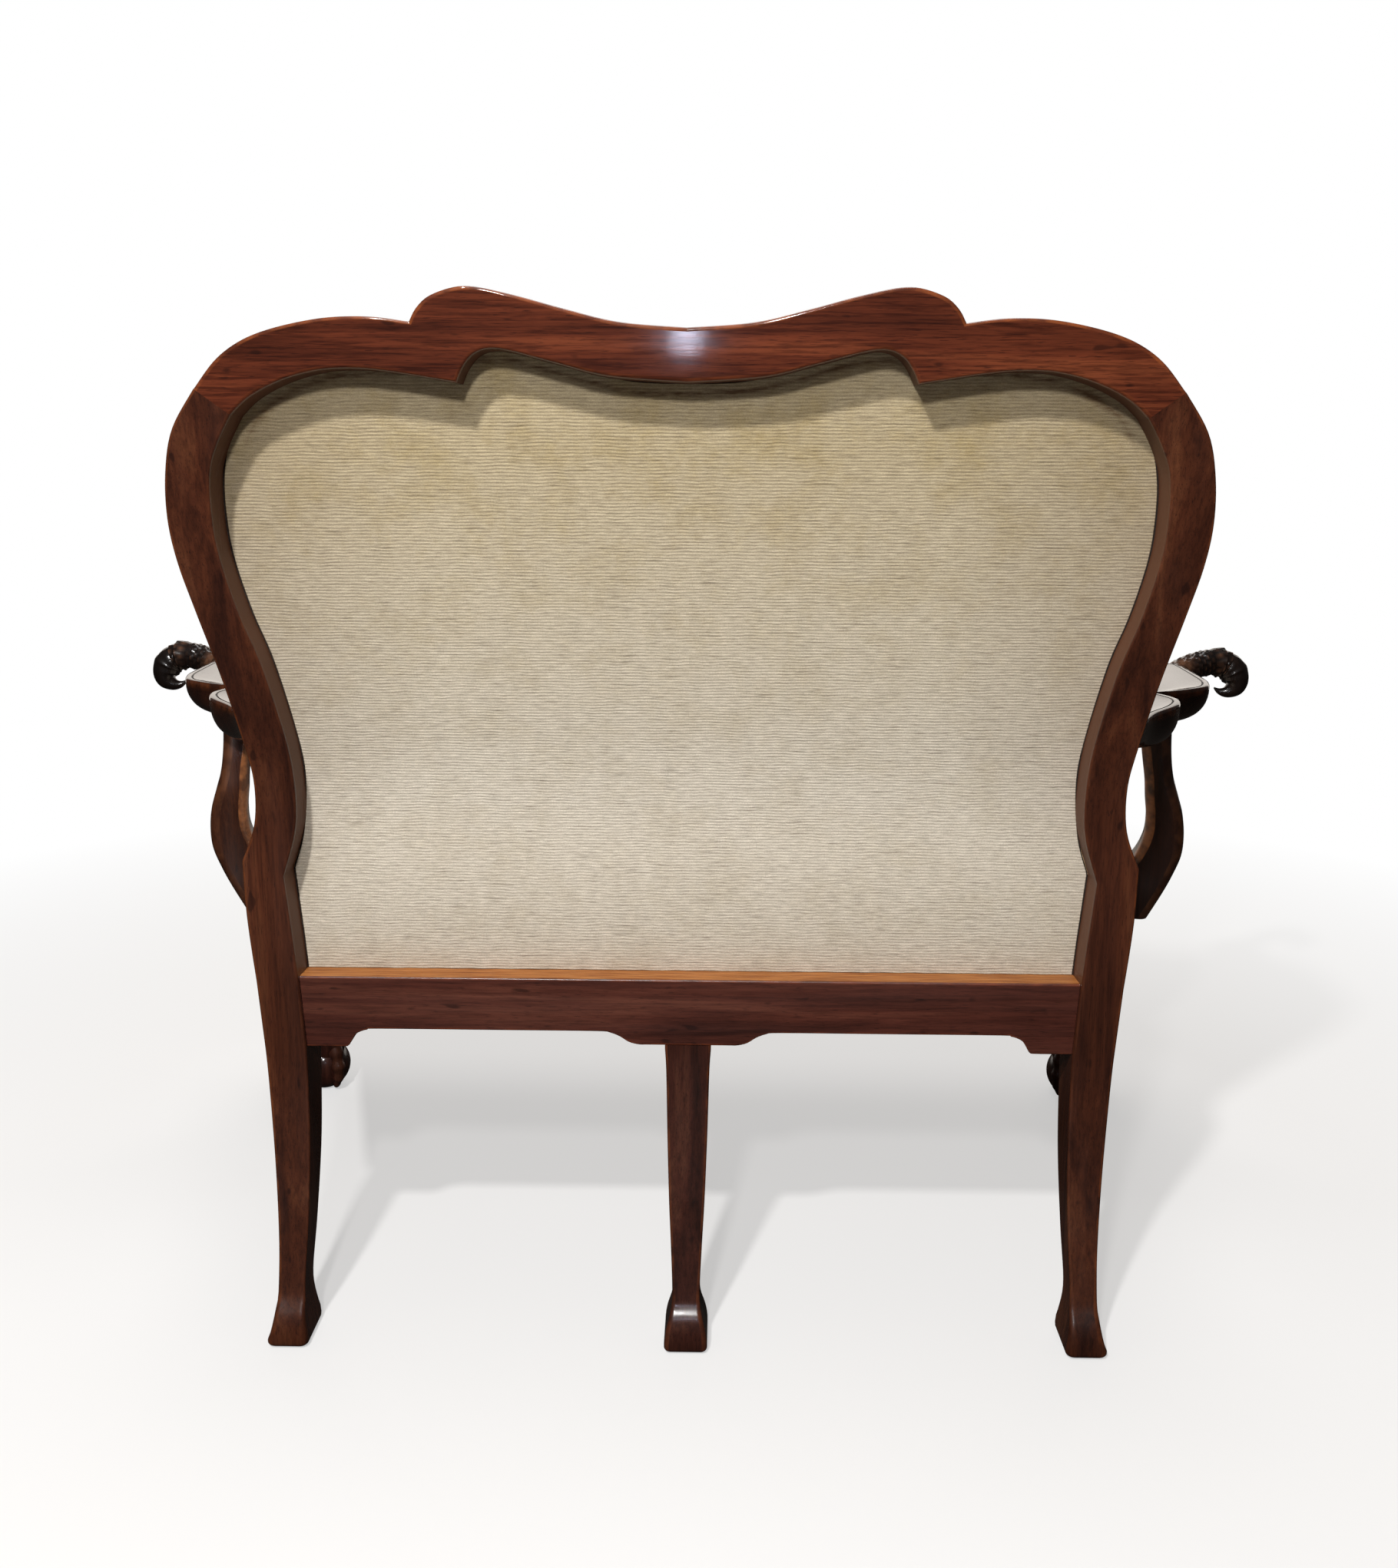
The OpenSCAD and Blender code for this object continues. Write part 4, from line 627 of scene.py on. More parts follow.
# %% Front legs
# Distance from the ball's middle, height and radius, as shares of the ball's radius
talon = batten([[0.1, 1.75, 0.36], [0.42, 1.42, 0.38], [0.78, 1.0, 0.29], [0.93, 0.66, 0.3],
                [1.0, 0.42, 0.22], [1.04, 0.14, 0.28], [1.05, -0.1, 0.2], [1.0, -0.32, 0.22],
                [0.93, -0.5, 0.16], [0.84, -0.68, 0.13], [0.74, -0.8, 0.05]], 8) * BALL
front_leg_parts = []
for side, sign in (("left", 1), ("right", -1)):
    parts = [skin("shank", shank_rings(cabriole) * [sign, 1, 1], 0.0)]
    for turn in np.radians([-45, -98, 8, 135]):
        out = np.array([math.cos(turn), math.sin(turn), 0])
        path = ball_middle + talon[:, :1] * out + talon[:, 1:2] * [0, 0, 1]
        parts.append(skin("talon", tube(path, talon[:, 2], 20) * [sign, 1, 1], 0.35))
    latitude = np.linspace(-math.asin(0.92), math.pi / 2 - 0.02, 40)
    level = ball_middle + np.stack([0 * latitude, 0 * latitude, BALL * np.sin(latitude)], axis=1)
    ring = np.linspace(0, 2 * math.pi, 48, endpoint=False)
    ball = level[:, None] + BALL * np.cos(latitude)[:, None, None] * np.stack(
        [np.cos(ring), np.sin(ring), 0 * ring], axis=1)
    parts.append(skin("ball", ball * [sign, 1, 1], 0.0))
    front_leg_parts.append((side, parts))
print("parts of each front leg so far:", len(parts))


# %% Joined parts, prisms and rounded corners
def joined(name, parts):
    """One mesh from several: their points and faces one after the other, with their wear."""
    points, faces, wear, start = [], [], [], 0
    for part in parts:
        mesh = part.data
        flat = np.empty(len(mesh.vertices) * 3)
        mesh.vertices.foreach_get("co", flat)
        points.append(flat.reshape(-1, 3) * 1000)
        values = np.zeros(len(mesh.vertices), np.float32)
        if "wear" in mesh.attributes:
            mesh.attributes["wear"].data.foreach_get("value", values)
        wear.append(values)
        corners = np.empty(len(mesh.loops), int)
        mesh.loops.foreach_get("vertex_index", corners)
        sides = np.empty(len(mesh.polygons), int)
        mesh.polygons.foreach_get("loop_total", sides)
        faces += np.split(corners + start, np.cumsum(sides)[:-1])
        start += len(mesh.vertices)
        bpy.data.objects.remove(part)
    return mesh_object(name, np.vstack(points), faces, np.concatenate(wear))


def prism(outline, low, high, ease=1.2):
    """An outline carried straight up, with its first and last rings drawn in to ease the edges."""
    outline = np.asarray(outline, float)
    reach = np.linalg.norm(outline - outline.mean(0), axis=1).mean()
    rings = []
    top = [(high - ease, 0), (high - 0.3 * ease, 0.3 * ease), (high, ease)]
    for z, inset in [(low, ease), (low + ease, 0), *top]:
        drawn = outline + (outline.mean(0) - outline) * inset / reach
        rings.append(np.column_stack([drawn, np.full(len(outline), z)]))
    return np.stack(rings)


def rounded_corners(outline, radius=1.5, turns=3):
    """Each corner becomes a curve that is pulled towards it: a quadratic from one side to the other."""
    p = np.asarray(outline, float)
    before, after = np.roll(p, 1, axis=0), np.roll(p, -1, axis=0)
    a = p + radius * (before - p) / np.linalg.norm(before - p, axis=1, keepdims=True)
    b = p + radius * (after - p) / np.linalg.norm(after - p, axis=1, keepdims=True)
    t = np.linspace(0, 1, turns + 1)[None, :, None]
    return ((1 - t) ** 2 * a[:, None] + 2 * t * (1 - t) * p[:, None] + t ** 2 * b[:, None]).reshape(-1, 2)


# %% Blocks of the front legs
x_in, x_out = LEG_X - BLOCK / 2, LEG_X + BLOCK / 2
y_front, y_back = LEG_Y - BLOCK / 2, LEG_Y + BLOCK / 2
block = rounded_corners([[x_in, y_back], [x_in, y_front], [x_out, y_front], [x_out, y_back]])
# The lip stands before and outside the rebate that holds the seat's corner
BLOCK_TOP, OVERLAP = 367.6, 1.6
rebate_x, rebate_y, rebate_back_x = 577.0, -327.41, 567.2
lip = [[x_in, rebate_y], [x_in, y_front], [x_out, y_front], [x_out, y_back],
       [rebate_back_x, y_back], [rebate_x, rebate_y]]
for side, parts in front_leg_parts:
    sign = 1 if side == "left" else -1
    parts.append(skin("block", prism(block, LEG_TOP - 1, BLOCK_TOP) * [sign, 1, 1], 0.0))
    rim_of_block = prism(rounded_corners(lip), BLOCK_TOP - OVERLAP, SEAT)
    parts.append(skin("lip", rim_of_block * [sign, 1, 1], 0.2))
    leg = joined(f"front_leg_carved_{side}", parts)
    place_piece(leg, leg_wood, [f"front_leg_{side}"])
print("front legs made")

# %% [markdown]
# ## Arms with eagle heads
# Each arm is a flat-topped, hollow-bellied board that swells from the upright, pinches to
# a cusp and swells again at the elbow, with a thin moulded rim inside its edge. From its
# end a neck curls outwards to a carved eagle head whose beak turns under.

# %% Arm section and stations
ARM_X, ARM_REACH = 0.876 * HALF_BACK, HALF_SPAN - 0.876 * HALF_BACK
ARM_Y, ARM_LENGTH, ARM_Z, ARM_THICK = 224.15, 417.0, 652.0, 44.0
# Share of the arm's length, inner and outer edge as shares of its reach, share of its thickness
arm_table = [[0, 0, 0.12, 0.72], [0.132, 0.02, 0.216, 0.86], [0.252, 0.09, 0.338, 1.05],
             [0.343, 0.164, 0.39, 1.1], [0.415, 0.207, 0.372, 0.95], [0.456, 0.23, 0.335, 0.78],
             [0.47, 0.235, 0.38, 0.78], [0.492, 0.249, 0.459, 0.86], [0.564, 0.285, 0.584, 0.95],
             [0.652, 0.321, 0.636, 1], [0.755, 0.354, 0.652, 1], [0.863, 0.384, 0.662, 0.92],
             [0.947, 0.426, 0.669, 0.8], [1, 0.478, 0.666, 0.68], [1.014, 0.52, 0.64, 0.56],
             [1.02, 0.56, 0.6, 0.42]]
first, second = batten(arm_table[:6], 7), batten(arm_table[5:], 7)
stations = np.vstack([first, second[1:]])
rim = np.array([[0, -4], [0.5, -1.8], [1.6, -0.5], [3, 0], [7.4, -0.1], [8, -1.1], [9.2, -1.1],
                [9.8, -0.2], [11.4, -0.5]])
print("stations along the arm:", len(stations))


def arm_section(width, thick):
    """Across the top, a rim, a dark cut line and a dished middle; below, a belly whose height is a power of
    the sine and whose width is a power of the cosine."""
    squeeze = np.minimum(1, width / 34)[:, None]
    left = rim[:, 0] * squeeze
    middle = width[:, None] * np.array([0.42, 0.5, 0.58])
    right = width[:, None] - left[:, ::-1]
    drop = np.concatenate([rim[:, 1], [-1.0, -1.1, -1.0], rim[::-1, 1]])
    turn = np.linspace(0, math.pi, 26)[1:-1]
    c, s = np.cos(turn), np.sin(turn)
    belly_x = width[:, None] * (1 + np.sign(c) * np.abs(c) ** 0.85) / 2
    belly_z = -4 - (thick[:, None] - 4) * s ** 0.8
    x = np.hstack([left, middle, right, belly_x])
    z = np.hstack([np.broadcast_to(drop, (len(width), len(drop))), belly_z])
    worn_rim = [1, 1, 0.6, 0, 0, -1, -1, 0, 0]
    wear = np.concatenate([worn_rim, [0, 0, 0], worn_rim[::-1], np.zeros(len(turn))])
    return x, z, wear


inner_x = ARM_X + stations[:, 1] * ARM_REACH
outer_x = ARM_X + stations[:, 2] * ARM_REACH
x, z, wear = arm_section(outer_x - inner_x, stations[:, 3] * ARM_THICK)
y = np.broadcast_to((ARM_Y - stations[:, :1] * ARM_LENGTH), x.shape)
arm_rings = np.stack([inner_x[:, None] + x, y, ARM_Z + z], axis=-1)
print("arm rings:", arm_rings.shape)

# %% Neck, head and feathers
NECK = 16.5
# Shares of the arm's reach and length, then drop and radius as shares of the neck's radius
neck_table = [[0.56, 0.86, 1.4, 0.9], [0.577, 0.9, 1.3, 0.93], [0.626, 0.975, 1.12, 0.97],
              [0.689, 1.038, 0.76, 1], [0.774, 1.074, 0.36, 1.04], [0.855, 1.089, 0.14, 1.06],
              [0.91, 1.0935, 0.38, 1.08], [0.943, 1.091, 0.95, 1.08], [0.953, 1.086, 1.6, 1],
              [0.949, 1.082, 2.06, 0.82], [0.932, 1.08, 2.36, 0.6], [0.908, 1.079, 2.5, 0.41],
              [0.883, 1.079, 2.42, 0.24], [0.86, 1.078, 2.15, 0.06]]
neck = evenly(batten(neck_table, 10), 150)
neck_path = np.stack([ARM_X + neck[:, 0] * ARM_REACH, ARM_Y - neck[:, 1] * ARM_LENGTH,
                      ARM_Z - neck[:, 2] * NECK], axis=1)
run = np.concatenate([[0], np.cumsum(np.linalg.norm(np.diff(neck_path, axis=0), axis=1))])
share = run / run[-1]


def feathers(run, sides, pitch=7.5, count=10):
    """Rows of scales, each row turned by half a scale: the height rises from root to tip, and falls off with
    the square of the distance from the scale's middle."""
    v = np.arange(sides) / sides
    row = run[:, None] / pitch
    around = np.abs((v[None, :] * count + 0.5 * np.floor(row)) % 1 - 0.5) * 2
    rise = row % 1
    return rise * (1 - 0.75 * around ** 2)


sides = 96
cover = np.clip((share - 0.22) / 0.12, 0, 1) * np.clip((0.74 - share) / 0.03, 0, 1)
brow = 2.2 * np.exp(-((share - 0.665) / 0.018) ** 2) + 0.9 * np.exp(-((share - 0.775) / 0.012) ** 2)
scales = feathers(run, sides) * cover[:, None]
radius = neck[:, 3, None] * NECK - 1.4 * cover[:, None] + 2.3 * scales + brow[:, None]
neck_wear = np.maximum(np.clip((0.5 - share) / 0.2, 0, 1)[:, None], 0.55 * scales ** 3)
neck_rings = tube(neck_path, radius, sides)
print("neck is", round(float(run[-1])), "mm long")

# %% Arms
EYE = 3.3
head_at = int(np.argmin(np.abs(share - 0.7)))
for side, sign in (("left", 1), ("right", -1)):
    arm_piece = skin(f"arm_board_{side}", arm_rings * [sign, 1, 1], wear)
    place_piece(arm_piece, arm_wood, [f"arm_{side}"])
    eagle = skin("eagle", neck_rings * [sign, 1, 1], neck_wear)
    eyes = []
    for turn in (-1, 1):
        centre = neck_path[head_at] + [1.0, turn * neck[head_at, 3] * NECK * 0.86, 2.0]
        levels = np.linspace(-math.pi / 2 + 0.05, math.pi / 2 - 0.05, 12)
        ring = np.linspace(0, 2 * math.pi, 16, endpoint=False)
        eye = centre + EYE * np.stack([np.outer(np.cos(levels), np.cos(ring)),
                                       np.outer(np.sin(levels), np.ones(16)),
                                       np.outer(np.cos(levels), np.sin(ring))], axis=-1)
        eyes.append(skin("eye", eye * [sign, 1, 1], 0.0))
    place_piece(joined(f"eagle_head_{side}", [eagle] + eyes), carved_wood)
print("arms and heads made")

# %% [markdown]
# ## Arm supports
# A support leans out from the side rail, bellies outwards and sweeps back in under the
# arm. Its section stays a rectangle with well-rounded corners, set square to the rail.

# %% Arm supports
SUPPORT_FOOT, SUPPORT_LOW, SUPPORT_BEHIND_LEG = 80.0, 351.0, 213.0
# Share of the height, then inner side, outer side, middle and half depth as shares of the foot
support_table = batten([[0, -0.02, 0.49, 0, 0.5], [0.108, -0.02, 0.69, 0.025, 0.475],
                        [0.191, 0.075, 0.825, 0.075, 0.41], [0.274, 0.25, 0.925, 0.15, 0.34],
                        [0.357, 0.35, 0.94, 0.225, 0.29], [0.442, 0.36, 0.9, 0.3, 0.256],
                        [0.522, 0.325, 0.81, 0.35, 0.244], [0.595, 0.3, 0.725, 0.35, 0.2375],
                        [0.674, 0.25, 0.675, 0.325, 0.244], [0.761, 0.2, 0.65, 0.25, 0.2625],
                        [0.894, 0.14, 0.64, 0.15, 0.2875]], 6)
# Where the side rail's outer face starts behind, and where it ends at the front leg
SIDE_BACK_X, SIDE_BACK_Y, SIDE_FRONT_X, SIDE_FRONT_Y = 445.536, 195.212, 586.0, -293.41
side_slope = (SIDE_FRONT_X - SIDE_BACK_X) / (SIDE_BACK_Y - SIDE_FRONT_Y)
side_angle = math.atan(side_slope)
support_y = LEG_Y + SUPPORT_BEHIND_LEG
support_x = SIDE_BACK_X + (SIDE_BACK_Y - support_y) * side_slope
width = (support_table[:, 2] - support_table[:, 1]) * SUPPORT_FOOT
depth = 2 * support_table[:, 4] * SUPPORT_FOOT
corner_radius = np.minimum(11.0, 0.38 * np.minimum(width, depth))
across, inward, wear = eased_section(width, depth, corner_radius, turns=6)
out = support_table[:, 1:2] * SUPPORT_FOOT + across
back = (support_table[:, 3:4] - support_table[:, 4:5]) * SUPPORT_FOOT + inward
height = SUPPORT_LOW + support_table[:, :1] * (ARM_Z - SUPPORT_LOW)
rings = np.stack([support_x + out * math.cos(side_angle) - back * math.sin(side_angle),
                  support_y + out * math.sin(side_angle) + back * math.cos(side_angle),
                  np.broadcast_to(height, out.shape)], axis=-1)
# Dark, with orange corners rubbed where hands and coats have passed; the inner rear corner also carries a
# painted highlight
support_wood = mahogany("support", ("#1b0b06", "#371a0d", "#502c18"), "Z", worn="#9a5f36", gloss=0.34,
                        wear_share=0.8)
corner_points = len(wear) // 4
# The inner rear corner gets the full orange: some wear, mostly a painted highlight on the side that the
# light falls on
wear *= np.repeat([0.2, 0.2, 1.0, 0.4], corner_points)
pair("arm_support_shaped", rings, support_wood, wear, ["arm_support"])
print("supports stand at", round(support_x), round(support_y))

# %% [markdown]
# ## Ribbed chenille
# The cover is a chenille whose ribs run across the settee, about three millimetres apart.
# Each rib is a row of short tufts, so it breaks into pale and dark dashes. The rib's
# place comes from a length measured down each piece of cloth, stored on its points.

# %% Colour of the cloth
RIB = 3.1


def ribbed_colour(tree, sheet, run, rib, groove):
    """A sine of the length down the cloth makes ribs, bent a little by a slow noise; noises stretched along
    them break each rib into dashes and thin lines. Also gives the height of the pile."""
    drift = add(tree, "TexNoise", {"Vector": sheet, "Scale": per_metre(33), "Detail": 2.0})
    turns = add(tree, "Math", {0: run, 1: per_metre(RIB) * 2 * math.pi}, operation="MULTIPLY")
    turns = add(tree, "Math", {0: drift, 1: 7.0, 2: turns}, operation="MULTIPLY_ADD")
    wave = add(tree, "Math", {0: turns}, operation="SINE")
    pile = add(tree, "MapRange", {0: wave, 1: -1.0, 2: 1.0})
    dash_place = add(tree, "Mapping", {"Vector": sheet, "Scale": per_metre(13, 1.8, 1000)})
    dash = add(tree, "TexNoise", {"Vector": dash_place, "Scale": 1.0, "Detail": 3.0, "Roughness": 0.7})
    dash = add(tree, "MapRange", {0: dash, 1: 0.32, 2: 0.68})
    line_place = add(tree, "Mapping", {"Vector": sheet, "Scale": per_metre(45, 2.4, 1000)})
    line = add(tree, "TexNoise", {"Vector": line_place, "Scale": 1.0, "Detail": 2.0, "Roughness": 0.5})
    line = add(tree, "MapRange", {0: line, 1: 0.3, 2: 0.42})
    tuft = add(tree, "Math", {0: pile, 1: 0.24}, operation="MULTIPLY")
    tuft = add(tree, "Math", {0: dash, 1: 0.5, 2: tuft}, operation="MULTIPLY_ADD")
    tuft = add(tree, "Math", {0: line, 1: 0.26, 2: tuft}, operation="MULTIPLY_ADD")
    cloth = add(tree, "Mix", {"Factor": tuft, 6: paint(groove), 7: paint(rib)}, **BLEND)
    fibre_place = add(tree, "Mapping", {"Vector": sheet, "Scale": per_metre(1.4, 0.9, 1000)})
    fibre = add(tree, "TexNoise", {"Vector": fibre_place, "Scale": 1.0, "Detail": 1.0})
    fibres = add(tree, "ValToRGB", {0: fibre},
                 stops=[(0.3, (0.8, 0.78, 0.75, 1)), (0.7, (1.12, 1.11, 1.1, 1))])
    cloth = add(tree, "Mix", {"Factor": 0.8, 6: cloth, 7: fibres}, **MULTIPLY)
    tall = add(tree, "Math", {0: fibre, 1: 0.35, 2: pile}, operation="MULTIPLY_ADD")
    tall = add(tree, "Math", {0: dash, 1: 0.6, 2: tall}, operation="MULTIPLY_ADD")
    return cloth, tall


def soiled_and_darkened(tree, place, sheet, cloth, soil, old):
    """Yellow soil grows with the height, where heads rested, and in stains; the cloth also turns greyer and
    darker towards the foot and the sides."""
    height = add(tree, "SeparateXYZ", {0: place}, out="Z")
    raised = add(tree, "MapRange", {0: height, 1: 0.57, 2: 0.92, 4: old * 1.2})
    stain = add(tree, "TexNoise", {
        "Vector": sheet, "Scale": per_metre(70), "Detail": 6.0, "Roughness": 0.75})
    stain = add(tree, "MapRange", {0: stain, 1: 0.46, 2: 0.74, 4: 0.05 + old * 0.3})
    dirt = add(tree, "Math", {0: raised, 1: stain}, operation="ADD", use_clamp=True)
    cloth = add(tree, "Mix", {"Factor": dirt, 6: cloth, 7: paint(soil)}, **MULTIPLY)
    aside = add(tree, "SeparateXYZ", {0: place}, out="X")
    aside = add(tree, "Math", {0: aside}, operation="ABSOLUTE")
    aside = add(tree, "MapRange", {0: aside, 1: 0.24, 2: 0.46, 4: old * 0.65})
    low = add(tree, "MapRange", {0: height, 1: 0.62, 2: 0.4, 4: old * 0.55})
    grey = add(tree, "Math", {0: aside, 1: low}, operation="MAXIMUM")
    return add(tree, "Mix", {"Factor": grey, 6: cloth, 7: paint("#b9aea4")}, **MULTIPLY)


def edged(tree, sheet, cloth):
    """The edge value on the points is, up to 1, a broken brown line along the wood; at 2 it is painted
    shade: a near-black line in the gap between the cloth and the wood."""
    edge = add(tree, "Attribute", out="Fac", attribute_name="edge")
    rim_place = add(tree, "Mapping", {"Vector": sheet, "Scale": per_metre(25, 3.8, 1000)})
    rim = add(tree, "TexNoise", {"Vector": rim_place, "Scale": 1.0, "Detail": 4.0, "Roughness": 0.7})
    rim = add(tree, "Math", {0: rim, 1: edge}, operation="MULTIPLY")
    rim = add(tree, "MapRange", {0: rim, 1: 0.3, 2: 0.56, 4: 0.85})
    cloth = add(tree, "Mix", {"Factor": rim, 6: cloth, 7: paint("#5c422b")}, **BLEND)
    # Painted shade: the gap between the cloth and the wood is coloured near black
    painted_gap_shade = add(tree, "MapRange", {0: edge, 1: 1.0, 2: 2.0, 4: 0.96})
    return add(tree, "Mix", {"Factor": painted_gap_shade, 6: cloth, 7: paint("#100a07")}, **BLEND)


# %% Chenille
def chenille(name, rib, groove, soil, old=0.0):
    """Ribs, soil, grey darkening and edge lines, one of painted shade, on a rough cloth with a little sheen,
    as short pile gives.
    """
    material, tree = new_material(name)
    place = add(tree, "TexCoord", out="Object")
    run = add(tree, "Attribute", out="Fac", attribute_name="run")
    axis = add(tree, "SeparateXYZ", {0: place})
    sheet = add(tree, "CombineXYZ", {0: axis, 1: run, 2: 0.0})
    cloth, tall = ribbed_colour(tree, sheet, run, rib, groove)
    cloth = soiled_and_darkened(tree, place, sheet, cloth, soil, old)
    cloth = edged(tree, sheet, cloth)
    bump = add(tree, "Bump", {"Strength": 0.5, "Distance": 0.0005, "Height": tall})
    finish_material(tree, add(tree, "BsdfPrincipled", {
        "Base Color": cloth, "Roughness": 0.95, "Normal": bump, "Sheen Weight": 0.2, "Sheen Roughness": 0.5,
        "Specular IOR Level": 0.15}))
    return material


# Off-white ribs over grey grooves, yellowed by age: the cloth outside the back
back_cloth = chenille("chenille_outside", "#e3dbcb", "#8d8477", "#bfaf83", old=0.6)
# The same cloth, cleaner, since the seat and the inside back were cared for
cover_cloth = chenille("chenille_inside", "#e9e2d4", "#aaa191", "#d6cbb4", old=0.05)
print("cloth finishes:", back_cloth.name, cover_cloth.name)

# %% [markdown]
# ## The cloth outside the back
# It is one flat piece, stretched over the back frame and turned under at its edges, so
# it is closed here as a thin sheet with rolled edges. The tacks pull shallow dimples
# into its lower edge.

# %% Outline of the panel
# Shares of the half width and of the height from the cusp to the top
panel_table = [[0.864, -0.03], [0.84, 0.04], [0.826, 0.153], [0.834, 0.245], [0.86, 0.379],
               [0.888, 0.466], [0.909, 0.562], [0.9125, 0.632], [0.905, 0.705], [0.882, 0.77],
               [0.84, 0.825], [0.765, 0.865], [0.67, 0.888], [0.58, 0.893], [0.49, 0.898],
               [0.42, 0.91], [0.361, 0.913], [0.3, 0.904], [0.21, 0.882], [0.105, 0.863],
               [0, 0.859]]
panel_foot = [[rail_inner, SEAT], [0.85 * HALF_BACK, 418.8]]
panel_side = np.vstack([panel_foot, batten(shares_of_back(panel_table))])


def panel_loop(lap, foot, side_points=260, foot_points=150):
    """The panel's edge, made larger all round by a lap: up, over, down and back along the foot."""
    half = panel_side * [(HALF_BACK + lap) / HALF_BACK, 1]
    half[:, 1] = SEAT + (half[:, 1] - SEAT) * (TOP - SEAT + lap) / (TOP - SEAT)
    half[:, 1] = np.maximum(half[:, 1], foot)
    half = evenly(half, side_points, 1.0)
    over = np.vstack([half, half[-2::-1] * [-1, 1]])
    x = np.linspace(over[-1, 0], over[0, 0], foot_points)[1:-1]
    return np.vstack([over, np.stack([x, np.full_like(x, foot)], axis=1)])


heights = np.linspace(300, 1060, 2000)
lengths = np.concatenate([[0], np.cumsum(np.hypot(np.diff(back_y(heights)), np.diff(heights)))])


def run_down(z):
    """The length of cloth from the floor up to a height, along the curve of the back."""
    return np.interp(z, heights, lengths + heights[0])


def with_run(piece, run):
    """Stores the length down the cloth, in metres, on every point."""
    layer = piece.data.attributes.new("run", "FLOAT", "POINT")
    layer.data.foreach_set("value", np.asarray(run, np.float32).ravel() * 0.001)
    return piece


print("cloth from the seat to the top:", round(float(run_down(TOP) - run_down(SEAT)), 1), "mm")

# %% Cloth outside the back
loop = panel_loop(0.2, SEAT + 0.4)
middle = np.array([0, 700.0])
back_rings = []
# Share of the way out from the middle, and depth behind the face
edge_shares = [(0.004, 0), (0.9945, 0), (0.9965, 0.1), (0.9995, 0.3), (1, 0.6), (0.9995, 0.9), (0.997, 1.2),
               (0.004, 1.2)]
for (a, low), (b, high) in zip(edge_shares, edge_shares[1:]):
    count = 34 if abs(a - b) > 0.5 else 1
    back_rings += [(a + (b - a) * i / count, low + (high - low) * i / count) for i in range(count)]
back_rings.append(edge_shares[-1])
rings = []
for ring_share, depth in back_rings:
    flat = middle + (loop - middle) * ring_share
    low = np.clip((SEAT + 26 - flat[:, 1]) / 26, 0, 1)
    tug = 0.45 * low ** 2 * (np.cos(flat[:, 0] * 2 * math.pi / 31) - 1)
    slack = 0.9 * np.sin(flat[:, 0] / 97 + 1.1) * np.sin(flat[:, 1] / 143 + 0.4) * (1 - ring_share ** 6)
    y = back_y(flat[:, 1]) - RECESS - 0.15 - depth + tug + 0.6 * slack
    rings.append(np.stack([flat[:, 0], y, flat[:, 1]], axis=1))
rings = np.array(rings)
run = np.append(run_down(rings[..., 2]).ravel(), [run_down(middle[1])] * 2)
outside = with_run(skin("outside_back", rings), run)
ring_share = np.array(back_rings)[:, :1]
# Up to 1: a broken brown line along the wood, only high up under the crest
near_wood = np.exp(-((ring_share - 0.965) / 0.022) ** 2) * np.clip((rings[..., 2] - 850) / 100, 0, 1)
# 2 on the rolled edge: painted shade, a near-black line in the gap beside the wood
near_wood = np.where(ring_share > 0.996, 2.0, near_wood)
edge = outside.data.attributes.new("edge", "FLOAT", "POINT")
edge.data.foreach_set("value", np.append(near_wood.ravel(), [0, 0]).astype(np.float32))
place_piece(outside, back_cloth, ["outside_back_cover"])

# %% Its flat size
x, length = loop[:, 0] / 1000, run_down(loop[:, 1]) / 1000

# %% [markdown]
# ## Stuffed pads
# A pad starts as a slightly thin cushion shape. Its mesh is remade with even voxels, held
# where it is tacked to its frame, and a cloth simulation then blows it up a little, so it
# crowns and puckers by itself. How far a point may move is capped, and low down the back's
# pad is held behind the path of the seat, which lifts out past it.

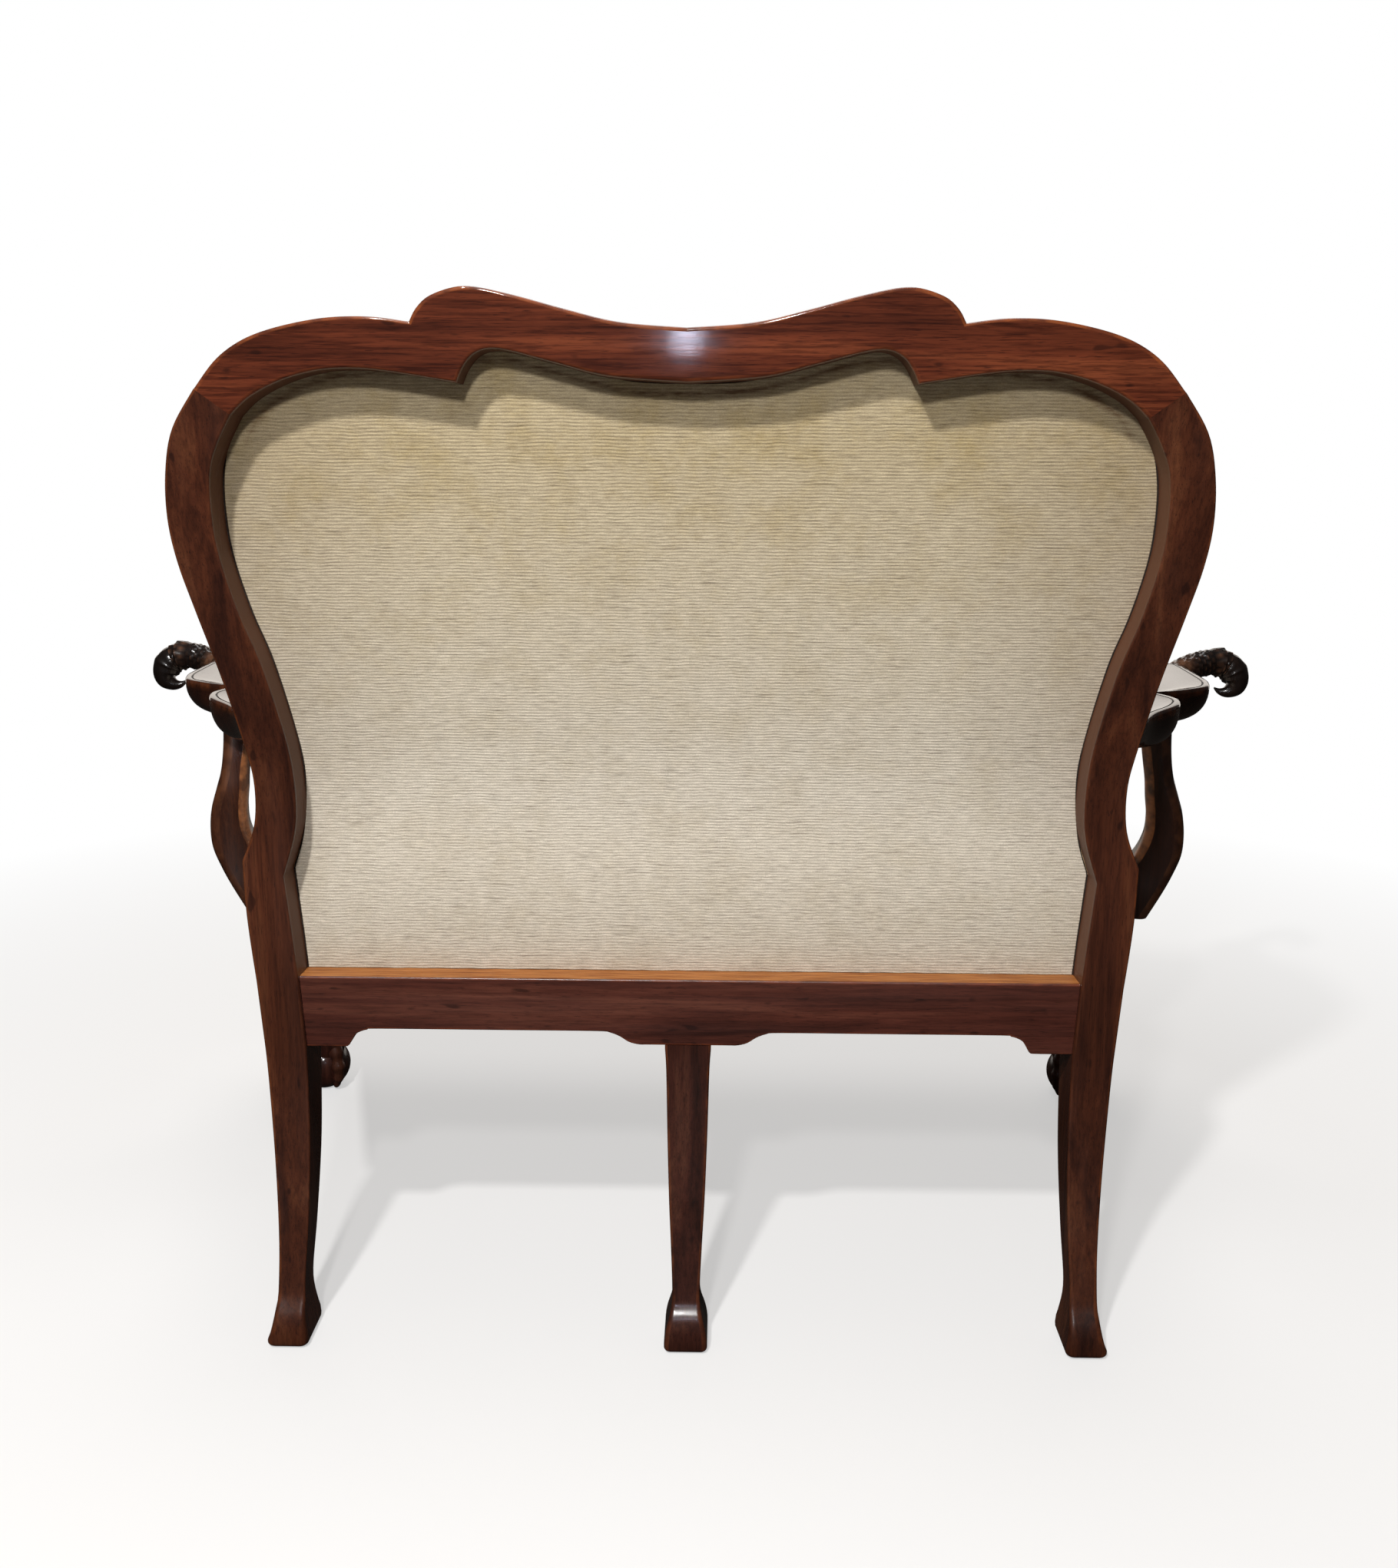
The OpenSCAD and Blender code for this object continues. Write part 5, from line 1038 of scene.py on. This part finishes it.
# %% Plumping a pad
def plumped(name, rings, held, cap, voxel=7.0, pressure=4.0, slack=0.012):
    """Voxel remesh, then cloth under pressure for twenty frames without gravity. Each point's move is capped
    by a hyperbolic tangent."""
    scene = bpy.context.scene
    piece = skin(name, rings)
    remesh = piece.modifiers.new("even mesh", "REMESH")
    remesh.mode = "VOXEL"
    remesh.voxel_size = voxel * 0.001
    even = bpy.data.meshes.new_from_object(piece.evaluated_get(bpy.context.evaluated_depsgraph_get()))
    piece.modifiers.clear()
    piece.data = even
    start = np.empty(len(even.vertices) * 3)
    even.vertices.foreach_get("co", start)
    start = start.reshape(-1, 3)
    group = piece.vertex_groups.new(name="held")
    group.add(np.flatnonzero(held(start * 1000)).tolist(), 1.0, "REPLACE")
    cloth = piece.modifiers.new("cloth", "CLOTH")
    cloth.settings.quality = 6
    cloth.settings.mass = 0.3
    cloth.settings.tension_stiffness = 12
    cloth.settings.compression_stiffness = 12
    cloth.settings.shear_stiffness = 5
    cloth.settings.bending_stiffness = 0.6
    cloth.settings.use_pressure = True
    cloth.settings.uniform_pressure_force = pressure
    cloth.settings.vertex_group_mass = "held"
    cloth.settings.shrink_min = -slack
    cloth.settings.effector_weights.gravity = 0
    cloth.point_cache.frame_start = 1
    cloth.point_cache.frame_end = 20
    for frame_number in range(1, 21):
        scene.frame_set(frame_number)
    settled = bpy.data.meshes.new_from_object(piece.evaluated_get(bpy.context.evaluated_depsgraph_get()))
    end = np.empty(len(settled.vertices) * 3)
    settled.vertices.foreach_get("co", end)
    move = end.reshape(-1, 3) - start
    reach = np.linalg.norm(move, axis=1, keepdims=True)
    limit = cap * 0.001 * np.tanh(reach / (cap * 0.001)) / np.maximum(reach, 1e-9)
    piece.modifiers.clear()
    start = start + move * limit
    piece.data.vertices.foreach_set("co", start.ravel())
    scene.frame_set(1)
    print(name, "moved up to", round(float(reach.max()) * 1000, 1), "mm before the cap")
    piece.data.polygons.foreach_set("use_smooth", np.ones(len(piece.data.polygons), bool))
    finer = piece.modifiers.new("finer", "SUBSURF")
    finer.levels = 1
    finer.render_levels = 1
    print(name, "has", len(start), "points")
    return piece, start * 1000


# %% Pad inside the back
PAD_DEPTH, PAD_EDGE, PAD_FOOT, PAD_CROWN = 59.7, 12, 6, 22
loop = panel_loop(1.2, SEAT + 1.0, 200, 90)
middle = np.array([0, 702.0])
# Share of the way out from the middle, share of the edge's height, share of the crown
pad_profile = batten([[0.03, 0, 0], [0.6, 0, 0], [0.96, 0, 0], [0.99, 0.08, 0], [1, 0.35, 0],
                      [0.995, 0.75, 0.02], [0.972, 1, 0.1], [0.9, 1, 0.38], [0.76, 1, 0.72],
                      [0.5, 1, 0.94], [0.25, 1, 1], [0.03, 1, 1]], 4)
rings = []
for ring_share, edge, crown in pad_profile:
    flat = middle + (loop - middle) * ring_share
    s = np.clip(((flat[:, 1] - SEAT) / (TOP - SEAT) - 0.2) / 0.22, 0, 1)
    full = s * s * (3 - 2 * s)
    depth = PAD_DEPTH + edge * PAD_EDGE + crown * (PAD_FOOT + PAD_CROWN * full)
    rings.append(np.stack([flat[:, 0], back_y(flat[:, 1]) - depth, flat[:, 1]], axis=1))


def against_frame(points):
    """True where the pad lies on its frame, and a little round the edge."""
    return back_y(points[:, 2]) - points[:, 1] < PAD_DEPTH + 3


inside, points = plumped("inside_back", rings, against_frame, 7.0)

# %% Room for the seat to pass
# The seat keeps before y 178.8 up to a height of 499, and 30 further forward 76 higher
PATH_Y, PATH_TOP, PATH_FADE, PATH_OPENS = 178.8, 499, 76, 30
t = np.clip((points[:, 2] - PATH_TOP) / PATH_FADE, 0, 1)
path_y = PATH_Y - PATH_OPENS * t * t * (3 - 2 * t)
ahead = np.maximum(path_y - points[:, 1], 0)
points[:, 1] = np.where(ahead > 0, path_y - 0.8 * np.tanh(ahead / 8), points[:, 1])
inside.data.vertices.foreach_set("co", (points * 0.001).ravel())
print("points held behind the seat's path:", int((ahead > 0).sum()))
with_run(inside, run_down(points[:, 2]))
place_piece(inside, cover_cloth, ["back_cushion"])

# %% Pad of the seat
SEAT_REAR, SEAT_FRONT, PAD_LOW = 175.71, -325.91, 392.2
SEAT_REBATE, SEAT_EDGE, SEAT_CROWN = 19.5, 16, 35


def seat_side_x(y, inset):
    """The side of the seat at a distance y: the side rail's line, moved in by its rebate and an inset."""
    return SIDE_BACK_X + (SIDE_BACK_Y - y) * side_slope - (SEAT_REBATE + inset) / math.cos(side_angle)


def seat_plan(inset, radius=16.0):
    """The seat's outline from above: a trapezium with rounded corners, moved in by an inset."""
    rear, fore = SEAT_REAR - inset, SEAT_FRONT + inset
    a, b = seat_side_x(rear, inset), seat_side_x(fore, inset)
    corners = rounded_corners([[a, rear], [-a, rear], [-b, fore], [b, fore]], radius, 8)
    return evenly(np.vstack([corners, corners[:1]]), 420)[:-1]


plan = seat_plan(-1.2)
middle = np.array([0, (SEAT_REAR + SEAT_FRONT) / 2])
# The same three shares as for the back's pad
seat_profile = batten([[0.03, 0, 0], [0.6, 0, 0], [0.97, 0, 0], [0.993, 0.08, 0], [1, 0.35, 0],
                       [0.996, 0.72, 0.02], [0.975, 1, 0.09], [0.9, 1, 0.36], [0.76, 1, 0.68],
                       [0.52, 1, 0.92], [0.26, 1, 1], [0.03, 1, 1]], 4)
rings = []
for ring_share, edge, crown in seat_profile:
    flat = middle + (plan - middle) * ring_share
    z = PAD_LOW + SEAT_EDGE * edge + SEAT_CROWN * crown
    rings.append(np.column_stack([flat, np.full(len(flat), z)]))


def tacked(points):
    """True where the cover is tacked to the seat's frame."""
    return points[:, 2] < PAD_LOW + 3


seat, points = plumped("seat_pad", rings, tacked, 8.0)
drop = np.clip(420 - points[:, 2], 0, None) * np.sign(points[:, 1] + 75)
with_run(seat, points[:, 1] + drop)
place_piece(seat, cover_cloth, ["seat_cushion"], "drop_in_seat")

# %% Cover round the seat frame's edge
strip_out, strip_in, strip_over = (seat_plan(inset, 3.0) for inset in (-1.3, 0.4, 9.0))
profile = [(strip_in, 382.4), (strip_out, 382.4), (strip_out, 384), (strip_out, 388), (strip_out, 393),
           (strip_out, 396), (strip_in, 397), (strip_over, 397), (strip_over, 395), (strip_in, 395)]
rings = np.stack([np.column_stack([flat, np.full(len(flat), z)]) for flat, z in profile], axis=1)


def closed_loop(name, rings, wear=None):
    """Rings joined round and round, the last to the first, so that no end needs closing."""
    n, m = rings.shape[:2]
    i, j = np.arange(n)[:, None], np.arange(m)[None, :]
    ahead, beside = (i + 1) % n, (j + 1) % m
    quads = np.stack([i * m + j, i * m + beside, ahead * m + beside, ahead * m + j], axis=-1).reshape(-1, 4)
    return mesh_object(name, rings, quads.tolist(), wear)


border = with_run(closed_loop("seat_cover_edge", rings), rings[..., 2] + 300)
place_piece(border, cover_cloth, body="drop_in_seat")
print("seat pad and its edge made")

# %% [markdown]
# ## Braid round the inside of the back
# A woven braid hides the tacks. It follows the panel's edge; its two plaits are a height
# that waves along and across it.

# %% Braid
# The braid goes from 5.5 inside the panel's edge to 11.5 outside it, and not along its foot
side_points = 460
inner = panel_loop(-5.5, SEAT, side_points)[:2 * side_points - 1]
outer = panel_loop(11.5, SEAT, side_points)[:2 * side_points - 1]
cross = np.linspace(0, 1, 15)[None, :, None]
flat = inner[:, None] + (outer - inner)[:, None] * cross
run = np.concatenate([[0], np.cumsum(np.linalg.norm(np.diff(inner, axis=0), axis=1))])[:, None]
s = cross[..., 0]
strands = np.abs(np.sin(math.pi * (run / 5.0 + 1.2 * np.abs(2 * s - 1))))
plait = strands * np.abs(np.sin(2 * math.pi * s)) ** 0.5
height = (0.5 + 1.5 * plait) * np.clip(np.minimum(s, 1 - s) * 12, 0.2, 1)
face = back_y(flat[..., 1]) - STILE_DEPTH
front = np.stack([flat[..., 0], face - height, flat[..., 1]], axis=-1)
behind = np.stack([flat[..., 0], face + 0.2, flat[..., 1]], axis=-1)
rings = np.concatenate([front, behind[:, ::-1]], axis=1)
# Yellower than the cloth, which draws a line round the pad
braid_cloth = chenille("braid", "#dfd3b9", "#a39677", "#cfc3a8")
run_on_rings = np.append(np.broadcast_to(run, rings.shape[:2]).ravel(), [0, run[-1, 0]])
braid = with_run(skin("back_braid", rings), run_on_rings)
place_piece(braid, braid_cloth, ["back_gimp"])
print("braid points:", rings.shape)

# %% [markdown]
# ## Materials of the hidden parts
# Beech bars and blocks, jute webbing and hessian, black bottom cloth and steel screws are
# seen from below or when the seat is lifted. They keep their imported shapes.

# %% Beech, jute, bottom cloth and steel
def plain_finish(name, dark, light, size, stretch, rough, metal=0.0):
    """Two colours mixed by one noise, stretched along the grain or the weave."""
    material, tree = new_material(name)
    place = add(tree, "TexCoord", out="Object")
    along = add(tree, "Mapping", {"Vector": place, "Scale": stretch})
    grain = add(tree, "TexNoise", {
        "Vector": along, "Scale": per_metre(size), "Detail": 4.0, "Roughness": 0.65})
    colour = add(tree, "ValToRGB", {0: grain}, stops=[(0.32, paint(dark)), (0.68, paint(light))])
    bump = add(tree, "Bump", {"Strength": 0.3, "Distance": 0.0003, "Height": grain})
    finish_material(tree, add(tree, "BsdfPrincipled", {
        "Base Color": colour, "Roughness": rough, "Normal": bump, "Metallic": metal}))
    return material


# Pale dry beech with a long grain, coarse brown jute, dull black cloth and grey steel
beech = plain_finish("beech", "#a9825a", "#c9a67a", 11, (0.1, 1.0, 1.0), 0.6)
jute = plain_finish("jute", "#8c6f48", "#b8986a", 1.1, (1.0, 1.0, 1.0), 0.95)
black_cloth = plain_finish("black_bottom_cloth", "#121212", "#242322", 0.8, (1.0, 1.0, 1.0), 0.9)
steel = plain_finish("steel", "#8d8f92", "#b4b6b8", 2.5, (1.0, 1.0, 0.1), 0.35, 1.0)


def finish_for(name):
    """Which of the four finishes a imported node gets, by the words in its name."""
    if "webbing" in name or "hessian" in name:
        return jute
    if "screw" in name:
        return steel
    return black_cloth if "bottom_cloth" in name else beech


dressed = [n for n in nodes if not nodes[n].hide_render]
for name in dressed:
    for held_slot in nodes[name].material_slots:
        held_slot.link = "OBJECT"
        held_slot.material = finish_for(name)
print("dressed:", dressed)

# %% [markdown]
# ## Light, floor and camera
# The photograph was lit by lamps above the camera, a little to one side. Two small ones
# stand there: the crest throws a dark shadow on the cloth and a paler one below it. A
# small strip below the camera gives the gloss on the crest and on the middle foot. A
# wide screen in front of the settee is what the arms' polished tops mirror, and a soft
# lamp hangs overhead. The world adds a little light from all round.

# %% Lights
def lamp(name, place, target, size, power, colour="#ffffff"):
    """An area lamp that faces its target."""
    data = bpy.data.lights.new(name, "AREA")
    data.shape = "DISK"
    data.size = size
    data.energy = power
    data.color = paint(colour)[:3]
    light = bpy.data.objects.new(name, data)
    bpy.context.scene.collection.objects.link(light)
    light.location = place
    light.rotation_euler = (Vector(target) - Vector(place)).to_track_quat("-Z", "Y").to_euler()
    return light


lamp("key", (0.2, 1.95, 1.62), (0, 0.1, 0.7), 0.14, 20)
lamp("high", (0.57, 1.95, 2.38), (0, 0.1, 0.7), 0.14, 62)
strip = lamp("gloss", (0.03, 1.36, 0.61), (0, 0.35, 1.0), 0.03, 0.4, "#dfe4ff")
lamp("above", (0, -0.4, 3.2), (0, -0.3, 0.5), 1.6, 32)
screen = lamp("front", (0, -3.4, 1.35), (0, 0, 1.0), 6.6, 70, "#fff6ec")
for light, high in ((strip, 0.1), (screen, 2.6)):
    light.data.shape = "RECTANGLE"
    light.data.size_y = high
    light.visible_camera = False

# %% [markdown]
# The camera sees a white world and a pale floor that fades to white, with the settee's
# shadow on it. Light and mirrored rays see a duller world and floor, so that the polish
# keeps its depth and isn't veiled by the white ground.

# %% World
scene = bpy.context.scene
scene.view_settings.view_transform = "Standard"
world = bpy.data.worlds.new("studio")
scene.world = world
world.use_nodes = True
tree = world.node_tree
tree.nodes.clear()
camera_ray = add(tree, "LightPath", out="Is Camera Ray")
glossy_ray = camera_ray.node.outputs["Is Glossy Ray"]
soft = add(tree, "Background", {"Color": paint("#fbeddd"), "Strength": 0.17})
dim = add(tree, "Background", {"Color": paint("#f6f4f2"), "Strength": 0.04})
white = add(tree, "Background", {"Color": (1, 1, 1, 1), "Strength": 1.0})
seen = add(tree, "MixShader", {0: glossy_ray, 1: soft, 2: dim})
seen = add(tree, "MixShader", {0: camera_ray, 1: seen, 2: white})
add(tree, "OutputWorld", {"Surface": seen})
print("world set")

# %% Floor
floor_material, tree = new_material("floor")
camera_ray = add(tree, "LightPath", out="Is Camera Ray")
glossy_ray = camera_ray.node.outputs["Is Glossy Ray"]
pale = add(tree, "Mix", {"Factor": glossy_ray, 6: paint("#7c7976"), 7: paint("#2b2826")}, **BLEND)
pale = add(tree, "Mix", {"Factor": camera_ray, 6: pale, 7: paint("#e2e0de")}, **BLEND)
pale = add(tree, "BsdfDiffuse", {"Color": pale})
bright = add(tree, "Emission", {"Color": (1, 1, 1, 1), "Strength": 1.0})
spot = add(tree, "TexCoord", out="Object")
away = add(tree, "VectorMath", {0: spot}, out="Value", operation="LENGTH")
away = add(tree, "MapRange", {0: away, 1: 0.9, 2: 2.2, 3: 0.5, 4: 1.0})
away = add(tree, "Math", {0: away, 1: camera_ray}, operation="MULTIPLY")
finish_material(tree, add(tree, "MixShader", {0: away, 1: pale, 2: bright}))
reach = 9000
corners = [[-reach, -reach, 0], [reach, -reach, 0], [reach, reach, 0], [-reach, reach, 0]]
floor = mesh_object("floor", corners, [(0, 1, 2, 3)])
floor.data.materials.append(floor_material)
print("floor is", 2 * reach / 1000, "m wide")

# %% Camera
camera_data = bpy.data.cameras.new("camera")
camera_data.lens = 32.85
camera_data.sensor_width = 36
camera = bpy.data.objects.new("camera", camera_data)
scene.collection.objects.link(camera)
camera.location = (-0.0332, 1.6365, 0.9135)
camera.rotation_euler = [math.radians(angle) for angle in (76.94, -0.25, -179.0)]
scene.camera = camera
print("camera set")
